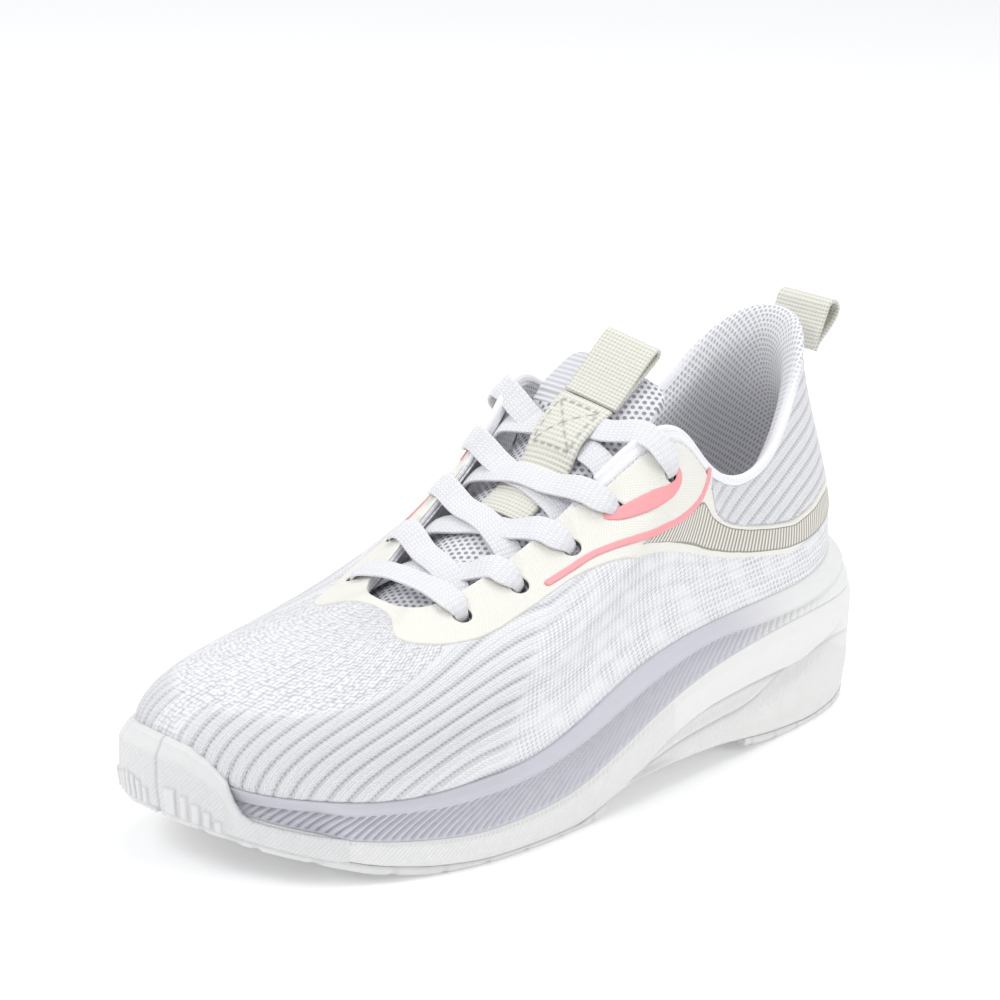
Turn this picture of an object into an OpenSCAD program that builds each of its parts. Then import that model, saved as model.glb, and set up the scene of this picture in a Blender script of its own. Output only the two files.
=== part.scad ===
// Running shoe, left foot. X runs forward to the toe, Y to the outer side, Z up.
// The origin is under the middle of the shoe, on the ground.

/* [Sizes] */
// Length of the sole from heel to toe tip
sole_length = 280.5; // [272:0.5:288]
// Widest width of the sole across the ball of the foot
ball_width = 100; // [96:0.5:104]
// Thickness of the knitted upper
knit_thickness = 1.6; // [1.4:0.1:1.6]
// Thickness of the fused film on the knit
film_thickness = 0.5; // [0.4:0.1:0.6]
// Depth of the padded collar, lining included
collar_depth = 8; // [6:0.5:8]

/* [Laces and loops] */
// Width of the flat lace
lace_width = 7.6; // [6.5:0.1:8]
// Thickness of the flat lace
lace_thickness = 1.3; // [1.1:0.1:1.3]
// Radius of the lace holes
eyelet_radius = 2.9; // [2.7:0.1:3]
// Width of the pull loops
loop_width = 21; // [18:1:22]

/* [Sole] */
// Thickness of the rubber tread
tread_thickness = 3; // [2.6:0.1:3.2]
// Depth of the grooves across the tread
groove_depth = 1.2; // [0.8:0.1:1.6]

/* [Hidden] */
NT = 64;
KX = sole_length / 280.5;
KY = ball_width / 100;
OFF = [-1.75, 1.75, 2.7];

// ---- control tables: one entry for each of 32 stations, from the heel along the outer side to the toe and back
OT = [[-138.5,0],[-131,17],[-114,29.5],[-92,35.5],[-68,38.5],[-44,40.5],[-20,43],[4,45],[28,47],[50,48],[70,46.5],
  [88,42],[104,35],[118,25.5],[130,13],[138,-2],[142,-19],[139.5,-33.5],[129.5,-44],[115,-49.5],[98,-51.5],
  [79,-50.5],[60,-47.5],[40,-43],[18,-38.5],[-5,-35.5],[-30,-34.5],[-55,-35.5],[-78,-36.5],[-99,-34.5],
  [-117,-28.5],[-131.5,-16.5]];
// height of the line where the knit meets the sole, and how far it is in from the outline
ZBT = [51,50,48,46.5,46.5,46,44.5,40,32,26.5,24.5,23,23,24,25.5,28,30,30,28,26.5,26,27,29,32,36,40,43,45,46.5,47.5,49,50.5];
IBT = [9,9,8,6,5,5,5,4.5,4,4,4,3.5,3,3.5,3.5,4,5,5,4.5,4,3.5,4,4,4.5,5,5,5,4.5,4,5,7,8.5];
// collar edge, then the edge of the lacing opening, then the collar again
TT = [[-111,-2,124.5],[-106.5,8.5,122],[-97,17,113],[-84,23.5,100.5],[-69,28.5,90],[-52,30,87.5],[-38,29.5,96],
  [-27,27.5,107.5],[-13,23,105],[6,19.5,92],[24,17.5,81],[40,15.5,73.5],[52,13.5,69],[60,11,66.5],[64.5,7,65.8],
  [66,2.5,65.6],[66.3,-2,65.8],[66,-6.5,66],[64,-11,66.2],[59,-14.5,67.5],[50,-17,70.5],[38,-20,76],[23,-22.5,84],
  [6,-25,94.5],[-8,-28,107],[-19,-30.5,112.5],[-33,-31.5,106],[-50,-32,95],[-68,-31.5,91],[-84,-29,98],
  [-98,-22.5,113.5],[-107.5,-12.5,123]];
// direction, start angle, end angle and fullness of each rib between the two edges
FD = [180,152,122,102,94,91,89,86,82,78,74,67,56,42,27,11,-6,-23,-38,-52,-64,-73,-79,-83,-86,-88,-90,-92,-96,-104,-124,-152];
F1 = [0,0,0,2,3,3,4,5,7,9,11,13,14,12,10,8,8,8,8,10,13,12,10,8,5,4,4,5,5,4,2,0];
F2 = [88,86,84,82,80,78,74,66,56,47,41,36,29,23,18,16,16,17,20,26,33,39,45,52,62,72,78,80,82,84,86,87];
FA = [35,35,35,36,38,40,42,42,42,40,38,34,30,28,27,26,26,27,28,30,34,38,40,42,42,42,42,38,36,35,35,35] / 100;
FB = [35,35,35,35,36,36,36,36,38,42,46,50,53,55,56,56,56,56,55,53,50,46,42,38,36,36,36,36,36,35,35,35] / 100;
// film edges along each rib: outer edge, stripe edges, inner edge
W1 = [130,135,155,180,310,470,525,530,575,715,770,785,810,845,895,965,970,965,930,860,760,640,600,570,545,530,520,500,360,220,160,140] / 1000;
W2 = [165,170,190,215,345,505,560,565,610,745,795,805,830,862,908,970,975,970,940,875,780,670,630,605,580,565,555,535,395,255,195,175] / 1000;
W3 = [275,275,295,340,485,665,740,590,635,770,820,830,850,878,920,976,980,976,950,890,805,700,655,630,605,590,720,690,510,370,300,280] / 1000;
W4 = [310,310,330,375,520,700,1000,1000,1000,1000,1000,1000,1000,1000,1000,1000,1000,1000,1000,1000,1000,1000,1000,1000,1000,1000,1000,720,545,405,335,315] / 1000;
// lower edge of the sole, top of its lower layer, top of the toe bumper
ZGT = [0,-0.5,-1.8,-2.7,-1,2.2,3.7,3.5,-2.7,-2.7,-2.7,-1.3,1.2,5.3,9.2,12.8,14.8,14.8,13,9.5,5.5,1.5,-2.7,-2.7,-2.7,0,3,3,1,-2.7,-1.8,-0.5];
ZLT = [37,37,36.7,37,36,33.3,28.8,20.5,12.2,9.7,8.5,9.5,11,13.5,17,20,21,20.5,18,15.5,13,11,10,10,11.5,16,22,28,32,35,36.5,37];
ZTT = [0,0,0,0,0,0,0,0,0,0,0,0,24,25.5,28,35.5,37,37,35,30,27.5,26,0,0,0,0,0,0,0,0,0,0];

// ---- smooth closed curves through the tables
function wr(i) = ((i % 32) + 32) % 32;
function sm(Q) = [for (i = [0:31]) (Q[wr(i-1)] + 4*Q[i] + Q[wr(i+1)]) / 6];
function shp(P, Q, n) = n == 0 ? Q : let (s = sm(Q)) shp(P, [for (i = [0:31]) Q[i] + P[i] - s[i]], n - 1);
function bs(Q, t) = let (i = floor(t), u = t - i)
  (1-u)*(1-u)*(1-u)/6 * Q[wr(i-1)] + (3*u*u*u - 6*u*u + 4)/6 * Q[wr(i)] + (-3*u*u*u + 3*u*u + 3*u + 1)/6 * Q[wr(i+1)] + u*u*u/6 * Q[wr(i+2)];
function lin(Q, t) = let (i = floor(t), u = t - i) (1-u) * Q[wr(i)] + u * Q[wr(i+1)];
function unit(v) = v / norm(v);
function mix(a, b, u) = a + (b - a) * u;
OS = [for (p = OT) [p[0]*KX, p[1]*KY]];
TS = [for (p = TT) [p[0]*KX, p[1]*KY, p[2]]];
FS = [for (a = FD) [cos(a), sin(a)]];
qO = shp(OS, OS, 3); qT = shp(TS, TS, 3); qF = shp(FS, FS, 3);
qZB = shp(ZBT, ZBT, 3); qIB = shp(IBT, IBT, 3); qF1 = shp(F1, F1, 3); qF2 = shp(F2, F2, 3); qFA = shp(FA, FA, 3); qFB = shp(FB, FB, 3);
function outl(t) = bs(qO, t);
function onrm(t) = let (d = unit(outl(t + 0.02) - outl(t - 0.02))) [-d[1], d[0]];
function ring2(t, inset) = outl(t) - onrm(t) * inset;
function r3(t, inset, z) = let (p = ring2(t, inset)) [p[0], p[1], z];
function cp(t) = let (B = r3(t, bs(qIB, t), bs(qZB, t)), E = bs(qT, t), h = unit(bs(qF, t)), L = norm(E - B),
  f = bs(qF1, t), g = bs(qF2, t))
  [B, B + bs(qFA, t) * L * [h[0]*sin(f), h[1]*sin(f), cos(f)], E + bs(qFB, t) * L * [h[0]*cos(g), h[1]*cos(g), -sin(g)], E];
function bez(c, v) = (1-v)*(1-v)*(1-v)*c[0] + 3*(1-v)*(1-v)*v*c[1] + 3*(1-v)*v*v*c[2] + v*v*v*c[3];
function dbez(c, v) = let (w = min(max(v, 0.02), 0.98)) (1-w)*(1-w)*(c[1]-c[0]) + 2*(1-w)*w*(c[2]-c[1]) + w*w*(c[3]-c[2]);
function S(t, v) = bez(cp(t), v);
function nrm(t, v) = unit(cross(dbez(cp(t), v), S(t + 0.15, v) - S(t - 0.15, v)));
// height of the foot bed
function zf(x) = lookup(x / KX, [[-145,37],[-90,35.5],[-50,34],[0,28.5],[40,23],[70,20.5],[100,20.5],[118,21.5],[130,23],[145,25]]);
// a point on the upper, d below its outer face; v below zero is the margin turned down into the sole
function pt(t, v, d) = v >= 0 ? S(t, v) - nrm(t, v) * d :
  let (i = bs(qIB, t), a = r3(t, i + 1.15 + d, bs(qZB, t) - 0.15), b0 = ring2(t, i + 1.75 + d), b = [b0[0], b0[1], zf(b0[0]) + 0.15])
  v > -0.2 ? a : mix(a, b, -v);

// ---- solids from grids of points
function quads(m, r, s, closed, flip) = [for (k = [0:(closed ? m - 1 : m - 2)]) for (j = [0:r - 2])
  let (a = s + k*r + j, b = s + ((k + 1) % m)*r + j) each (flip ? [[a, a+1, b+1], [a, b+1, b]] : [[a, b, b+1], [a, b+1, a+1]])];
function edge(m, r, n, j, closed, flip) = [for (k = [0:(closed ? m - 1 : m - 2)])
  let (a = k*r + j, b = ((k + 1) % m)*r + j) each (flip ? [[a, n+b, b], [a, n+a, n+b]] : [[a, b, n+b], [a, n+b, n+a]])];
// a sheet between two grids G (outer) and H (inner), m stations of r points
module sheet(G, H, closed) {
  m = len(G); r = len(G[0]); n = m * r;
  polyhedron(points = concat([for (g = G) each g], [for (h = H) each h]),
    faces = concat(quads(m, r, 0, closed, false), quads(m, r, n, closed, true),
      edge(m, r, n, 0, closed, true), edge(m, r, n, r - 1, closed, false),
      closed ? [] : [for (j = [0:r - 2]) each [[j, j+1, n+j+1], [j, n+j+1, n+j]]],
      closed ? [] : [for (j = [0:r - 2]) let (a = (m-1)*r + j) each [[a, n+a+1, a+1], [a, n+a, n+a+1]]]));
}
// a solid from stacked rings, closed straight across at both ends
module loft(R, alt = false) {
  m = len(R); n = len(R[0]); h = n / 2;
  polyhedron(points = [for (q = R) each q], faces = concat(
    [for (j = [0:m - 2]) for (k = [0:n - 1]) let (a = j*n + k, b = j*n + (k+1) % n) each (alt ? [[a, b, a+n], [b, b+n, a+n]] : [[a, b, b+n], [a, b+n, a+n]])],
    [for (k = [0:h - 1]) let (s = (m-1)*n, a = s + k, b = s + k + 1, c = s + n - k - 1, d = s + (n - k) % n)
      each (k == 0 ? [[a, b, c]] : k == h - 1 ? [[a, b, d]] : [[a, b, c], [a, c, d]])],
    [for (k = [0:h - 1]) let (a = k, b = k + 1, c = n - k - 1, d = (n - k) % n)
      each (k == 0 ? [[a, c, b]] : k == h - 1 ? [[a, d, b]] : [[a, c, b], [a, d, c]])]));
}
// a solid from cross sections of the same number of points
module sweep(Q) {
  m = len(Q); n = len(Q[0]);
  polyhedron(points = [for (q = Q) each q], faces = concat(
    [for (k = [0:m - 2]) for (j = [0:n - 1]) let (a = k*n + j, b = k*n + (j+1) % n) each [[a, b, b+n], [a, b+n, a+n]]],
    [for (j = [1:n - 2]) [0, j+1, j]], [for (j = [1:n - 2]) let (s = (m-1)*n) [s, s+j, s+j+1]]));
}
STN = [for (k = [0:NT - 1]) k * 32 / NT];
function span(a, b, n) = [for (i = [0:n]) a + (b - a) * i / n];
module put(c) { color(c) translate(OFF) children(); }
WHITE = [0.93, 0.93, 0.92]; LILAC = [0.80, 0.80, 0.87]; CREAM = [0.92, 0.91, 0.86]; PINK = [0.96, 0.55, 0.57]; GREY = [0.55, 0.53, 0.50];

// ---- sole
function bump(t) = let (u = wr(floor(t)) + t - floor(t)) 2.6 * min(max(min((u - 12.4) / 0.6, (20.6 - u) / 0.6), 0), 1);
module outsole_forefoot() {
  put(WHITE) difference() {
    sweep([for (t = span(7.5, 15.5, 16)) let (u = 32 - t, a = lin(ZGT, t), b = lin(ZGT, u), g = tread_thickness - 0.3,
      p = ring2(t, 2), q = ring2(u, 2), e = ring2(t, 2.8), f = ring2(u, 2.8))
      [[p[0], p[1], a], [q[0], q[1], b], [f[0], f[1], b + g], [e[0], e[1], a + g]]]);
    for (x = [32, 50, 68, 86, 104]) translate([x*KX, 0, -3.7]) rotate([0, 0, 8]) translate([-1.5, -70, 0]) cube([3, 140, 1 + groove_depth]);
    translate([20, -3.5, -3.7]) cube([95, 3, 1 + groove_depth]);
  }
}
module heel_pad(s) {
  put(WHITE) difference() {
    sweep([for (i = span(0, 1, s > 0 ? 7 : 6)) let (t = s > 0 ? mix(1, 4.5, i) : 32 - mix(4, 1, i), a = lin(ZGT, t), g = tread_thickness - 0.45,
      p = ring2(t, 2), e = ring2(t, 2.8), y = -1 + s * 3, m = mix(a, lin(ZGT, 32 - t), 0.5))
      [[p[0], p[1], a], [p[0], y, m], [e[0], y, m + g], [e[0], e[1], a + g]]]);
    for (x = [-112, -98, -84, -70]) translate([x*KX, 0, -3.7]) rotate([0, 0, s * 10]) translate([-1.5, -70, 0]) cube([3, 140, 1.6 + groove_depth]);
  }
}
module outsole_heel_lateral() heel_pad(1);
module outsole_heel_medial() heel_pad(-1);
module midsole_carrier() {
  put(WHITE) loft([for (j = [0:6]) [for (t = STN) let (g = lin(ZGT, t) + tread_thickness, z = lin(ZLT, t), b = bump(t), c = ring2(t, 11 + b),
    w = [[3 + b, g], [0.5 + b, mix(g, z, 0.35)], [0.2 + b, mix(g, z, 0.75)], [0.9 + b, z], [3.4 + b, z - 0.3], [3.8 + b, z - 1.5],
    [11 + b, min(z - 1.5, zf(c[0]) - 8)]][j]) r3(t, w[0], w[1])]]);
}
module midsole_insert() {
  put(LILAC) loft([for (j = [0:7]) [for (t = STN) let (z = lin(ZLT, t), y = bs(qZB, t), i = bs(qIB, t), b = bump(t), c = ring2(t, 11.2 + b), e = ring2(t, i + 1.5),
    w = [[11.2 + b, min(z - 1.5, zf(c[0]) - 8) + 0.45], [4.2 + b, z - 1.1], [3.8 + b, z + 0.1], [1.2 + b, z + 0.5], [max(0.6 + b, mix(1.2, i - 0.5, 0.5)), mix(z, y, 0.55)],
      [max(i - 0.5, b + 0.2), y - 0.2], [i + 0.9, y - 0.3], [i + 1.5, zf(e[0])]][j]) r3(t, w[0], w[1])]], true);
}
module toe_bumper() {
  put(WHITE) sheet([for (t = span(13.2, 19.6, 16)) let (g = lin(ZGT, t) + tread_thickness + 0.3, z = lin(ZTT, t), i = bs(qIB, t))
      [r3(t, 1, g), r3(t, 0.1, mix(g, z, 0.4)), r3(t, 0, mix(g, z, 0.75)), r3(t, max(i - 3.5, 0), z)]],
    [for (t = span(13.2, 19.6, 16)) let (g = lin(ZGT, t) + tread_thickness + 0.3, z = lin(ZTT, t), i = bs(qIB, t))
      [r3(t, 2.4, g), r3(t, 2.3, mix(g, z, 0.4)), r3(t, 2.1, mix(g, z, 0.75)), r3(t, max(i - 1.9, 1.5), z)]], false);
}
module strobel_board() {
  put(WHITE) loft([for (j = [0:1]) [for (t = STN) let (i = bs(qIB, t) + knit_thickness + 1.95, c = ring2(t, i)) r3(t, i, zf(c[0]) + 0.15 + j * 1.4)]]);
}
function sock(j, t) = let (i = bs(qIB, t) + knit_thickness + 4.9 + max(0, 5 - abs(t > 16 ? t - 32 : t)) * 0.4, c = ring2(t, i), z = zf(c[0]) + 2.2) r3(t, i, z + j);
module sockliner_foam() { put(LILAC) loft([for (j = [0, 4]) [for (t = STN) sock(j, t)]]); }
module sockliner_cover() { put(LILAC) loft([for (j = [4.06, 4.8]) [for (t = STN) sock(j, t)]]); }

// ---- upper
function rows(t) = let (a = lin(W1, t)) [-1, -0.1, 0, a * 0.12, a * 0.3, a * 0.6, a, lin(W2, t), lin(W3, t), mix(lin(W3, t), lin(W4, t), 0.5), lin(W4, t), 1];
EYL = [[11.9, 0.915], [10.5, 0.9], [9.4, 0.88], [8.55, 0.86], [7.3, 0.825]];
EYM = [[19.9, 0.9], [21.4, 0.88], [22.6, 0.87], [23.6, 0.86], [24.8, 0.84]];
module eyelets() {
  for (e = concat(EYL, EYM)) let (p = S(e[0], e[1]), n = nrm(e[0], e[1]))
    translate(p) rotate([0, acos(n[2]), atan2(n[1], n[0])]) cylinder(h = 9, r = eyelet_radius, center = true, $fn = 48);
}
module upper_knit() {
  put(WHITE) difference() {
    sheet([for (t = STN) [for (j = [0:11]) if (j != 10) pt(t, rows(t)[j], 0)]], [for (t = STN) [for (j = [0:11]) if (j != 10) pt(t, rows(t)[j], knit_thickness)]], true);
    eyelets();
  }
}
module overlay_film() {
  put(CREAM) difference() {
    sheet([for (t = STN) [for (j = [6:10]) pt(t, rows(t)[j], -0.08 - film_thickness)]], [for (t = STN) [for (j = [6:10]) pt(t, rows(t)[j], -0.08)]], true);
    eyelets();
  }
}
module stripe_film() {
  put(GREY) sheet([for (k = [-13:13]) let (t = k / 2) [pt(t, rows(t)[7], -0.4 - film_thickness), pt(t, rows(t)[8], -0.4 - film_thickness)]],
    [for (k = [-13:13]) let (t = k / 2) [pt(t, rows(t)[7], -0.15 - film_thickness), pt(t, rows(t)[8], -0.15 - film_thickness)]], false);
}
// a narrow printed band along a list of [t, v, half width in v]
module band(L) {
  sheet([for (p = L) [for (s = [-1, 1]) pt(p[0], p[1] + s * p[2], -1.15 - film_thickness)]],
    [for (p = L) [for (s = [-1, 1]) pt(p[0], p[1] + s * p[2], -0.85 - film_thickness)]], false);
}
LINE = [[5.85, 0.955, 0.02], [5.95, 0.9, 0.02], [6.1, 0.83, 0.03], [6.35, 0.73, 0.035], [6.7, 0.645, 0.03], [7.1, 0.615, 0.025], [7.6, 0.62, 0.022], [8.1, 0.67, 0.022], [8.6, 0.735, 0.022],
  [9.05, 0.79, 0.02], [9.5, 0.815, 0.018], [10, 0.835, 0.015]];
PATCH = [[7.1, 0.825, 0.012], [7.2, 0.775, 0.02], [7.45, 0.745, 0.035], [7.75, 0.735, 0.045], [8.1, 0.755, 0.045], [8.45, 0.79, 0.02]];
module accent_line_lateral() { put(PINK) band(LINE); }
module accent_patch_lateral() { put(PINK) band(PATCH); }
function mir(L) = [for (i = [len(L) - 1:-1:0]) [32 - L[i][0], L[i][1], L[i][2]]];
module accent_line_medial() { put(PINK) band(mir(LINE)); }
module accent_patch_medial() { put(PINK) band(mir(PATCH)); }
module eyestay_backing() {
  put(WHITE) difference() {
    sheet([for (k = [13:51]) let (t = k / 2) [for (j = [6, 7, 8, 9, 11]) pt(t, rows(t)[j], knit_thickness + 0.08)]],
      [for (k = [13:51]) let (t = k / 2) [for (j = [6, 7, 8, 9, 11]) pt(t, rows(t)[j], knit_thickness + 0.6)]], false);
    eyelets();
  }
}
module toe_puff() {
  put(WHITE) sheet([for (k = [25:41]) let (t = k / 2, r = rows(t)) [for (v = [0, r[3], r[4], r[5]]) pt(t, v, knit_thickness + 0.08)]],
    [for (k = [25:41]) let (t = k / 2, r = rows(t)) [for (v = [0, r[3], r[4], r[5]]) pt(t, v, knit_thickness + 0.8)]], false);
}
function padding(t) = let (u = abs(t)) u < 4.5 ? 1 : max(0.1, 1 - (u - 4.5) * 0.28);
// v of the collar rows, and how deep the lining lies there
CR = [-0.6, -0.1, 0, 0.14, 0.28, 0.42, 0.56, 0.7, 0.82, 0.91, 0.965, 1];
CD = [3, 3, 3, 3, 3.3, 4.6, 6.6, 8, 8, 7, 4.6, 0.1];
function deep(t, j) = let (b = j < 4 ? 1.35 : 0.1) knit_thickness + b + max(0, CD[j] - 3 + (j < 4 ? 0 : 1.25)) * 0.9 * padding(t) * (collar_depth - 1.8) / 6.2 * (j < 4 ? 0 : 1);
CK = [for (k = [-12:12]) k / 2];
module heel_counter() {
  put(WHITE) sheet([for (k = [-9:9]) let (t = k / 2) [for (j = [1:4]) pt(t, CR[j], knit_thickness + 0.08)]],
    [for (k = [-9:9]) let (t = k / 2) [for (j = [1:4]) pt(t, CR[j], knit_thickness + (j == 4 ? 0.6 : 1.2))]], false);
}
module collar_foam() {
  put(LILAC) sheet([for (t = CK) [for (j = [5:10]) pt(t, CR[j], knit_thickness + 0.35)]],
    [for (t = CK) [for (j = [5:10]) pt(t, CR[j], deep(t, j) - 0.06)]], false);
}
module collar_lining() {
  put(LILAC) sheet([for (t = CK) [for (j = [0:11]) pt(t, CR[j], deep(t, j))]], [for (t = CK) [for (j = [0:11]) pt(t, CR[j], deep(t, j) + 0.8)]], false);
}

// ---- tongue: u runs from the toe end up to the top
TCX = [76, 66, 52, 40, 24, 5, -12, -25, -35];
TCZ = [57, 61, 66.5, 72, 80, 91, 104, 113.5, 120.5];
function tc(x) = [x * KX, -2.5 * KY, lookup(-x, [for (i = [0:8]) [-TCX[i], TCZ[i]]])];
function tn(x) = let (a = tc(x + 6), b = tc(x - 6), d = unit([a[0] - b[0], 0, a[2] - b[2]])) [-d[2], 0, d[0]];
function tp(x, y, d) = tc(x) + [0, y * KY, 0] - tn(x) * (6.6 * (y / 20) * (y / 20) + d);
function hw(x) = lookup(x, [[-36, 14], [-33, 17.5], [-27, 19], [-12, 21], [5, 23.5], [24, 24.5], [40, 22.5], [52, 19.5], [66, 15], [76, 12]]);
XB = [76, 71, 66, 59, 52, 46, 40, 32, 24, 14.5, 5, -3.5, -12, -18.4];
XF = [-19.6, -22, -25, -28, -31, -33.2, -35];
WY = [-1, -0.8, -0.5, -0.17, 0.17, 0.5, 0.8, 1];
module tongue_base() {
  put(LILAC) sheet([for (x = XB) [for (w = WY) tp(x, w * hw(x), 0)]], [for (x = XB) [for (w = WY) tp(x, w * hw(x), 1.5)]], false);
}
function puff(x, w) = 5.2 * sqrt(max(0, 1 - w * w)) * (x < -34 ? 0.3 : x < -32 ? 0.7 : x > -20 ? 0.4 : x > -23 ? 0.8 : 1);
module tongue_face() {
  put(LILAC) sheet([for (x = XF) [for (w = WY) tp(x, w * hw(x), 0)]], [for (x = XF) [for (w = WY) tp(x, w * hw(x), 0.9)]], false);
}
module tongue_foam() {
  put(LILAC) sheet([for (x = XF) [for (w = WY) tp(x, w * hw(x), 0.95)]], [for (x = XF) [for (w = WY) tp(x, w * hw(x), 1.35 + puff(x, w))]], false);
}
module tongue_lining() {
  put(LILAC) sheet([for (x = XF) [for (w = WY) tp(x, w * hw(x), 1.4 + puff(x, w))]], [for (x = XF) [for (w = WY) tp(x, w * hw(x), 2.2 + puff(x, w))]], false);
}
XS = [19, 15, 11, 6, -0.5, -3.5, -6.2, -11, -15, -18.4];
SH = [0.3, 0.3, 0.3, 0.3, 0.3, 2.3, 4.1, 4.3, 4.2, 3.7];
module tongue_strap() {
  put(CREAM) sheet([for (i = [0:9]) [for (y = [-1, -0.5, 0, 0.5, 1]) tp(XS[i], y * loop_width / 2, -SH[i] - 0.8)]],
    [for (i = [0:9]) [for (y = [-1, -0.5, 0, 0.5, 1]) tp(XS[i], y * loop_width / 2, -SH[i])]], false);
}
// a webbing loop: closed band around a flat gap, drawn along its own length
module loop_band(len, gap, w, th) {
  rotate([90, 0, 0]) linear_extrude(height = w, center = true) difference() {
    polygon([[0, -0.2], [len - gap / 2, 0], [len + th * 0.4, gap * 0.22], [len + th, gap * 0.5 + th], [len + th * 0.4, gap * 0.78 + 2 * th], [len - gap / 2, gap + 2 * th], [4, th * 2.2], [0, th * 2]]);
    polygon([[5, th * 0.95], [len - gap / 2, th], [len - th * 0.5, th + gap * 0.2], [len, th + gap * 0.5], [len - th * 0.5, th + gap * 0.8], [len - gap / 2, gap + th], [6, th * 1.3]]);
  }
}
module tongue_pull_loop() {
  a = tc(-20.4); n = tn(-20.4); d = [-n[2], 0, n[0]];
  put(CREAM) translate(a + n * 0.7) rotate([0, -atan2(d[2], d[0]), 0]) mirror([0, 0, 1]) loop_band(27, 6.6, loop_width, 1.2);
}
module heel_pull_loop() {
  put(CREAM) translate([-115.3 * KX, -2.5 * KY, 112.8]) rotate([0, -115, 0]) loop_band(17, 7.2, loop_width, 1.2);
}

// ---- lace: one flat cord from one tucked end to the other
function eye(s, i) = s > 0 ? EYL[i] : EYM[i];
function rim(s, i, o, h) = let (t = eye(s, i)[0] + s * o) S(t, 1) + nrm(t, 0.97) * h + (h > 0 ? 1.7 : 0.6) * unit(dbez(cp(t), 1));
function hb(x) = lookup(x, [[-2, 1.3], [1, 2.3], [25, 2.2], [30, 1.3]]);
// through the hole of row i on side s: comes in over the film, leaves below it
function through(s, i, g) = let (e = eye(s, i), P = S(e[0], e[1]), N = nrm(e[0], e[1]), A = rim(s, i, i == 0 ? 0.55 : 0.2, 0), B = rim(s, i, -0.1, 0),
  D0 = P - A, D = unit(D0 - N * (D0 * N)), E0 = B - P, E = unit(E0 - N * (E0 * N)))
  [[P - D*5.5 + N*(s < 0 ? 2.6 : 2.2), g*N, 1, 1], [P - D*3 + N*2, g*N, 0.8, 1.1], [P - D*0.8 + N*0.8, g*unit(N + D), 0.55, 1.35], [P - N*1, g*D, 0.52, 1.4],
   [P + E*0.7 - N*2.9, g*unit(D - N), 0.55, 1.35], [P + E*2.8 - N*4, -g*N, 0.8, 1.1], [P + E*5.5 - N*3.9, -g*N, 1, 1]];
// across the tongue from under the rim of row i on side s to over the rim of row i + 1 on the other side
function across(s, i, g, up) = let (A = rim(s, i, -0.1, -3.7), B = rim(-s, i + 1, s > 0 && i == 3 ? 0.38 : 0.2, s > 0 && i >= 2 ? 1.8 + 0.8 * (i - 1) : 2))
  concat([[A, g * nrm(eye(s, i)[0], 0.97), 1, 1]],
    [for (f = [0.25, 0.42, 0.58, 0.75]) let (p = mix(A, B, f), y = p[1] / KY + 2.5, n = tn(p[0] / KX), q = tc(p[0] / KX)[2] - 6.6 * (y / 20) * (y / 20) / n[2],
      h = hb(p[0] / KX) + (up ? 1.5 : 0) + (f > 0.7 ? (s > 0 && i >= 2 ? 1.3 + 2 * (i - 1) : 0.9) : 0)) [[p[0], p[1], q + h / n[2]], g * n, 1, 1]],
    [[B, g * nrm(eye(-s, i + 1)[0], 0.97), 1, 1]]);
// the end goes down inside, between the tongue and the knit
function tail(s, g) = let (t = eye(s, 4)[0]) [for (v = [0.72, 0.6, 0.48, 0.36]) [pt(t + s * (0.72 - v) * 1.2, v, 4.2), g * nrm(t, v), 1, 1]];
function half(s, ups) = concat(through(s, 0, 1), across(s, 0, -1, ups[0]), through(-s, 1, -1), across(-s, 1, 1, ups[1]), through(s, 2, 1),
  across(s, 2, -1, ups[2]), through(-s, 3, -1), across(-s, 3, 1, ups[3]), through(s, 4, 1), tail(s, -1));
BAR = [for (f = [0.25, 0.5, 0.75]) let (A = rim(-1, 0, 0.55, 1.6), B = rim(1, 0, 0.55, 1.6), p = mix(A, B, f)) [p + [0, 0, 0.8], [0.2, 0, 1], 1, 1]];
HA = concat([[rim(1, 0, 0.55, 1.5), nrm(12.4, 0.97), 1, 1]], half(1, [1, 0, 0, 1]));
HB = concat([[rim(-1, 0, 0.55, 1.5), nrm(19.4, 0.97), 1, 1]], half(-1, [0, 1, 1, 0]));
WAY = concat([for (i = [len(HA) - 1:-1:0]) HA[i]], [BAR[2], BAR[1], BAR[0]], HB);
function cat(a, b, c, d, u) = 0.5 * (2*b + (c - a)*u + (2*a - 5*b + 4*c - d)*u*u + (3*b - a - 3*c + d)*u*u*u);
LP = let (n = len(WAY)) [for (i = [0:n - 2]) for (u = [0, 0.5]) let (a = WAY[max(i-1, 0)], b = WAY[i], c = WAY[i+1], d = WAY[min(i+2, n-1)])
  [cat(a[0], b[0], c[0], d[0], u), mix(b[1], c[1], u), mix(b[2], c[2], u), mix(b[3], c[3], u)]];
function lsec(i, w, h) = let (n = len(LP), T = unit(LP[min(i+1, n-1)][0] - LP[max(i-1, 0)][0]), W = unit(cross(T, LP[i][1])), U = cross(W, T),
  a = w * LP[i][2] / 2, b = h * LP[i][3] / 2, p = LP[i][0])
  [p + W*a, p + W*(a - 0.5) + U*b, p - W*(a - 0.5) + U*b, p - W*a, p - W*(a - 0.5) - U*b, p + W*(a - 0.5) - U*b];
module lace() { put(LILAC) sweep([for (i = [0:len(LP) - 1]) lsec(i, lace_width, lace_thickness)]); }

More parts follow.
